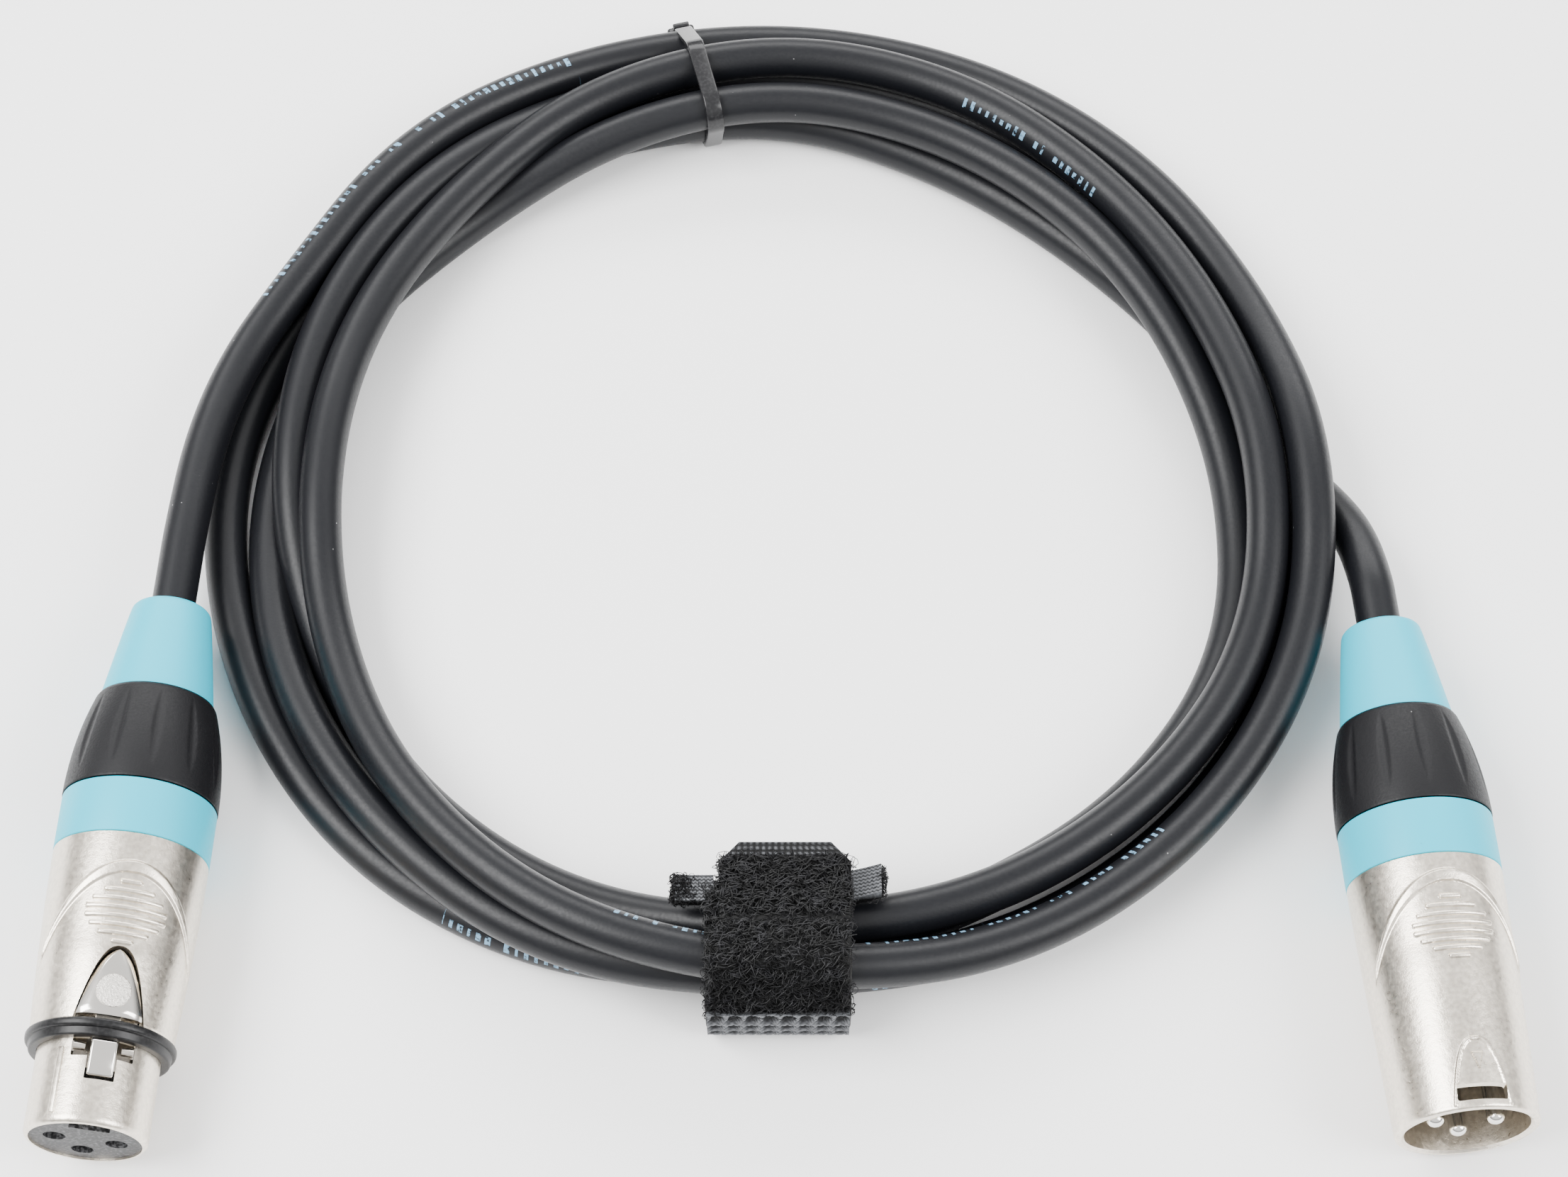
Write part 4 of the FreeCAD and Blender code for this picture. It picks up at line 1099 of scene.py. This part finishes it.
def build_tail(place, rng):
    """Free end with clipped corners: pile, and an edge with short pale stitches."""
    half, clip, aside = WRAP_WIDTH / 2 - TAIL_ASIDE, TAIL_CLIP, TAIL_ASIDE
    laid = head_place(place, -TAIL_SLOPE, TAIL_HINGE)
    x = np.linspace(0, -TAIL_LENGTH, 30)
    reach = np.where(-x > TAIL_LENGTH - clip, half - (-x - TAIL_LENGTH + clip), half)
    u = np.linspace(-1, 1, 70)
    y = reach[:, None] * u[None]
    points = np.stack([x[:, None] + 0 * y, y + aside, 0 * y + WRAP_THICK - 0.2], -1)
    normals = np.zeros(points.shape)
    normals[..., 2] = 1.0
    row = 0.5 + 0.5 * np.sin(2 * np.pi * (x / 0.7))[:, None]
    dot = np.exp(-(((y / 0.8) % 1 - 0.5) / 0.22) ** 2) * row ** 3
    dot = dot * (-x[:, None] > TAIL_LENGTH - 1.5)
    shape, values = cloth(points, normals, 0.15 * row + 0 * y, dot * 0.8, WRAP_THICK - 0.3)
    shape.laid(laid)
    mesh = shape.mesh("wrap_end", 60)
    add_yarn(mesh, values)
    show(new_object("wrap_end", mesh), knit_paint("tail_knit"), "wrap_tail_body", "wrap_fabric",
         "wrap_tail")
    count = 900
    feet = np.stack([rng.uniform(1.9 - TAIL_LENGTH, 0.8, count),
                     rng.uniform(-half, half, count), np.full(count, WRAP_THICK - 0.2)], -1)
    feet[:, 1] *= np.clip(1.0 + 0.1 * (feet[:, 0] + TAIL_LENGTH - clip), 0.8, 1.0)
    feet[:, 1] += aside
    paths, radii = loops(rng, feet, np.tile([0.0, 0, 1.0], (count, 1)),
                         np.tile([0, 1.0, 0], (count, 1)), 0.72, YARN_R)
    curls = Shape().strands(paths, radii).laid(laid)
    show(new_object("wrap_end_pile", curls.mesh("wrap_end_pile", 80)),
         fabric_paint("pile_yarn", 0.008), "wrap_tail_body", "wrap_fabric")
    build_fold(laid, half, aside, rng)


def build_fold(laid, half, aside, rng):
    """Layer of the strap, with its pile, that joins the band to the free end's hinge."""
    reach, top = 5.0, WRAP_THICK - 0.15
    layer = Shape().soft_box((-0.1, aside - half, 0.15), (reach, aside + half, top), 0.3)
    show(new_object("wrap_fold", layer.laid(laid).mesh("wrap_fold")),
         fabric_paint("wrap_cloth", 0.001), "root", "wrap_fabric")
    count = 450
    feet = np.stack([rng.uniform(0.5, 3.2, count), rng.uniform(-half, half, count) + aside,
                     np.full(count, top)], -1)
    paths, radii = loops(rng, feet, np.tile([0.0, 0, 1.0], (count, 1)),
                         np.tile([0, 1.0, 0], (count, 1)), 0.72, YARN_R)
    curls = Shape().strands(paths, radii).laid(laid)
    show(new_object("wrap_fold_pile", curls.mesh("wrap_fold_pile", 80)),
         fabric_paint("pile_yarn", 0.008), "root", "wrap_fabric")


# ---- stage -------------------------------------------------------------------------------
def area_light(name, location, size, power):
    """Rectangular lamp that points at the middle of the floor."""
    data = bpy.data.lights.new(name, "AREA")
    data.shape = "RECTANGLE"
    data.size, data.size_y = size
    data.energy = power
    lamp = new_object(name, data)
    lamp.location = location
    lamp.rotation_euler = (-Vector(location)).to_track_quat("-Z", "Y").to_euler()


def build_stage():
    """Pale floor, soft lamps, studio walls that darken towards the horizon, and the camera."""
    look = bpy.context.scene.cable_coil_stage
    floor_mesh = bpy.data.meshes.new("floor")
    reach = 3.0
    floor_mesh.from_pydata([(-reach, -reach, 0), (reach, -reach, 0), (reach, reach, 0),
                            (-reach, reach, 0)], [], [(0, 1, 2, 3)])
    floor = new_object("floor", floor_mesh)
    floor_mesh.materials.append(Paint("floor", look.floor_color[:], 0.6).material)
    world = bpy.data.worlds.new("studio")
    bpy.context.scene.world = world
    world.use_nodes = True
    nodes, links = world.node_tree.nodes, world.node_tree.links
    where = nodes.new("ShaderNodeTexCoord")
    split = nodes.new("ShaderNodeSeparateXYZ")
    ramp = nodes.new("ShaderNodeValToRGB")
    ramp.color_ramp.elements[0].position = 0.02
    ramp.color_ramp.elements[0].color = (0.1, 0.1, 0.105, 1)
    ramp.color_ramp.elements[1].position = 0.5
    ramp.color_ramp.elements[1].color = (1, 1, 1, 1)
    links.new(where.outputs["Generated"], split.inputs[0])
    links.new(split.outputs["Z"], ramp.inputs[0])
    links.new(ramp.outputs[0], nodes["Background"].inputs["Color"])
    nodes["Background"].inputs["Strength"].default_value = look.sky
    for name, (location, size, share) in LAMPS.items():
        area_light(name, location, size, look.power * share)
    camera_data = bpy.data.cameras.new("camera")
    camera_data.lens, camera_data.sensor_width = LENS, SENSOR
    camera = new_object("camera", camera_data)
    camera.location = CAMERA_AT
    camera.rotation_euler = (math.radians(CAMERA_TILT), 0, 0)
    bpy.context.scene.camera = camera


# ---- add-on ------------------------------------------------------------------------------
def color(label, text, default):
    """Colour property of a settings group."""
    return bpy.props.FloatVectorProperty(name=label, description=text, default=default,
                                         subtype="COLOR", size=3, min=0.0, max=1.0)


class CableSettings(bpy.types.PropertyGroup):
    """Sizes and colours of the cable."""

    diameter: bpy.props.FloatProperty(name="Diameter", description="Across the jacket",
                                      default=0.006, unit="LENGTH", precision=4)
    jacket_color: color("Jacket", "Colour of the jacket", (0.0048, 0.0052, 0.0068))
    # Colour of the painted highlights along the cable's edges.
    highlight_color: color("Ticks", "Colour of the printed ticks", (0.16, 0.3, 0.43))


class ConnectorSettings(bpy.types.PropertyGroup):
    """Colours of the connectors."""

    code_color: color("Coding", "Colour of the boots and rings", (0.0, 0.46, 0.62))
    metal_color: color("Shell", "Colour of the nickel", (0.9, 0.825, 0.71))


class WrapSettings(bpy.types.PropertyGroup):
    """Pile of the wrap."""

    loop_count: bpy.props.IntProperty(name="Loops", description="Curls in the pile",
                                      default=3000, min=0)
    loop_radius: bpy.props.FloatProperty(name="Loop radius", description="Size of one curl",
                                         default=0.00072, unit="LENGTH", precision=5)


class StageSettings(bpy.types.PropertyGroup):
    """Floor and lights."""

    floor_color: color("Floor", "Colour of the floor", (0.95, 0.95, 0.95))
    power: bpy.props.FloatProperty(name="Light", description="Power of the key light",
                                   default=17.0, unit="POWER")
    sky: bpy.props.FloatProperty(name="Sky", description="Strength of the studio's walls",
                                 default=1.4)


class BuildSleeves(bpy.types.Operator):
    """Build both rubber boots and coding rings"""

    bl_idname = "cable_coil.sleeves"
    bl_label = "Boots and rings"

    def execute(self, context):
        for side in ("socket", "plug"):
            build_sleeves(side)
        return {"FINISHED"}


class BuildCollars(bpy.types.Operator):
    """Build both clamping collars"""

    bl_idname = "cable_coil.collars"
    bl_label = "Collars"

    def execute(self, context):
        for side in ("socket", "plug"):
            build_collar(side)
        return {"FINISHED"}


class BuildShells(bpy.types.Operator):
    """Build both metal shells"""

    bl_idname = "cable_coil.shells"
    bl_label = "Shells"

    def execute(self, context):
        build_plug_shell()
        build_socket_shell()
        return {"FINISHED"}


class BuildLatch(bpy.types.Operator):
    """Build the socket's latch and its rubber ring"""

    bl_idname = "cable_coil.latch"
    bl_label = "Latch and seal"

    def execute(self, context):
        build_latch()
        build_seal()
        return {"FINISHED"}


class BuildInner(bpy.types.Operator):
    """Paint the CAD pieces that stay in view"""

    bl_idname = "cable_coil.inner"
    bl_label = "Inner pieces"

    def execute(self, context):
        build_inner()
        return {"FINISHED"}


class BuildCable(bpy.types.Operator):
    """Build the coiled cable"""

    bl_idname = "cable_coil.cable"
    bl_label = "Cable"

    def execute(self, context):
        build_cable()
        return {"FINISHED"}


class BuildTie(bpy.types.Operator):
    """Build the zip tie"""

    bl_idname = "cable_coil.tie"
    bl_label = "Zip tie"

    def execute(self, context):
        build_zip_tie()
        return {"FINISHED"}


class BuildWrap(bpy.types.Operator):
    """Build the hook-and-loop wrap"""

    bl_idname = "cable_coil.wrap"
    bl_label = "Wrap"

    def execute(self, context):
        build_wrap()
        return {"FINISHED"}


class BuildStage(bpy.types.Operator):
    """Build the floor, lights and camera"""

    bl_idname = "cable_coil.stage"
    bl_label = "Stage"

    def execute(self, context):
        build_stage()
        return {"FINISHED"}


GROUPS = {"cable_coil_cable": CableSettings, "cable_coil_connector": ConnectorSettings,
          "cable_coil_wrap": WrapSettings, "cable_coil_stage": StageSettings}
BUILDERS = (BuildSleeves, BuildCollars, BuildShells, BuildLatch, BuildTie, BuildWrap, BuildInner,
            BuildCable, BuildStage)


class CoilPanel(bpy.types.Panel):
    """Settings and builders of the cable coil"""

    bl_idname = "CABLE_COIL_PT_main"
    bl_label = "Cable coil"
    bl_space_type = "VIEW_3D"
    bl_region_type = "UI"
    bl_category = "Cable coil"

    def draw(self, context):
        for group in GROUPS:
            settings = getattr(context.scene, group)
            for name in settings.__annotations__:
                self.layout.prop(settings, name)
        for builder in BUILDERS:
            self.layout.operator(builder.bl_idname)


def register():
    """Add the settings, operators and panel."""
    for cls in (*GROUPS.values(), *BUILDERS, CoilPanel):
        bpy.utils.register_class(cls)
    for name, group in GROUPS.items():
        setattr(bpy.types.Scene, name, bpy.props.PointerProperty(type=group))


def unregister():
    """Remove the settings, operators and panel."""
    for name in GROUPS:
        delattr(bpy.types.Scene, name)
    for cls in (CoilPanel, *reversed(BUILDERS), *reversed(list(GROUPS.values()))):
        bpy.utils.unregister_class(cls)


def main():
    """Build every piece and the stage."""
    register()
    for builder in BUILDERS:
        group, name = builder.bl_idname.split(".")
        getattr(getattr(bpy.ops, group), name)()


if __name__ == "__main__":
    main()
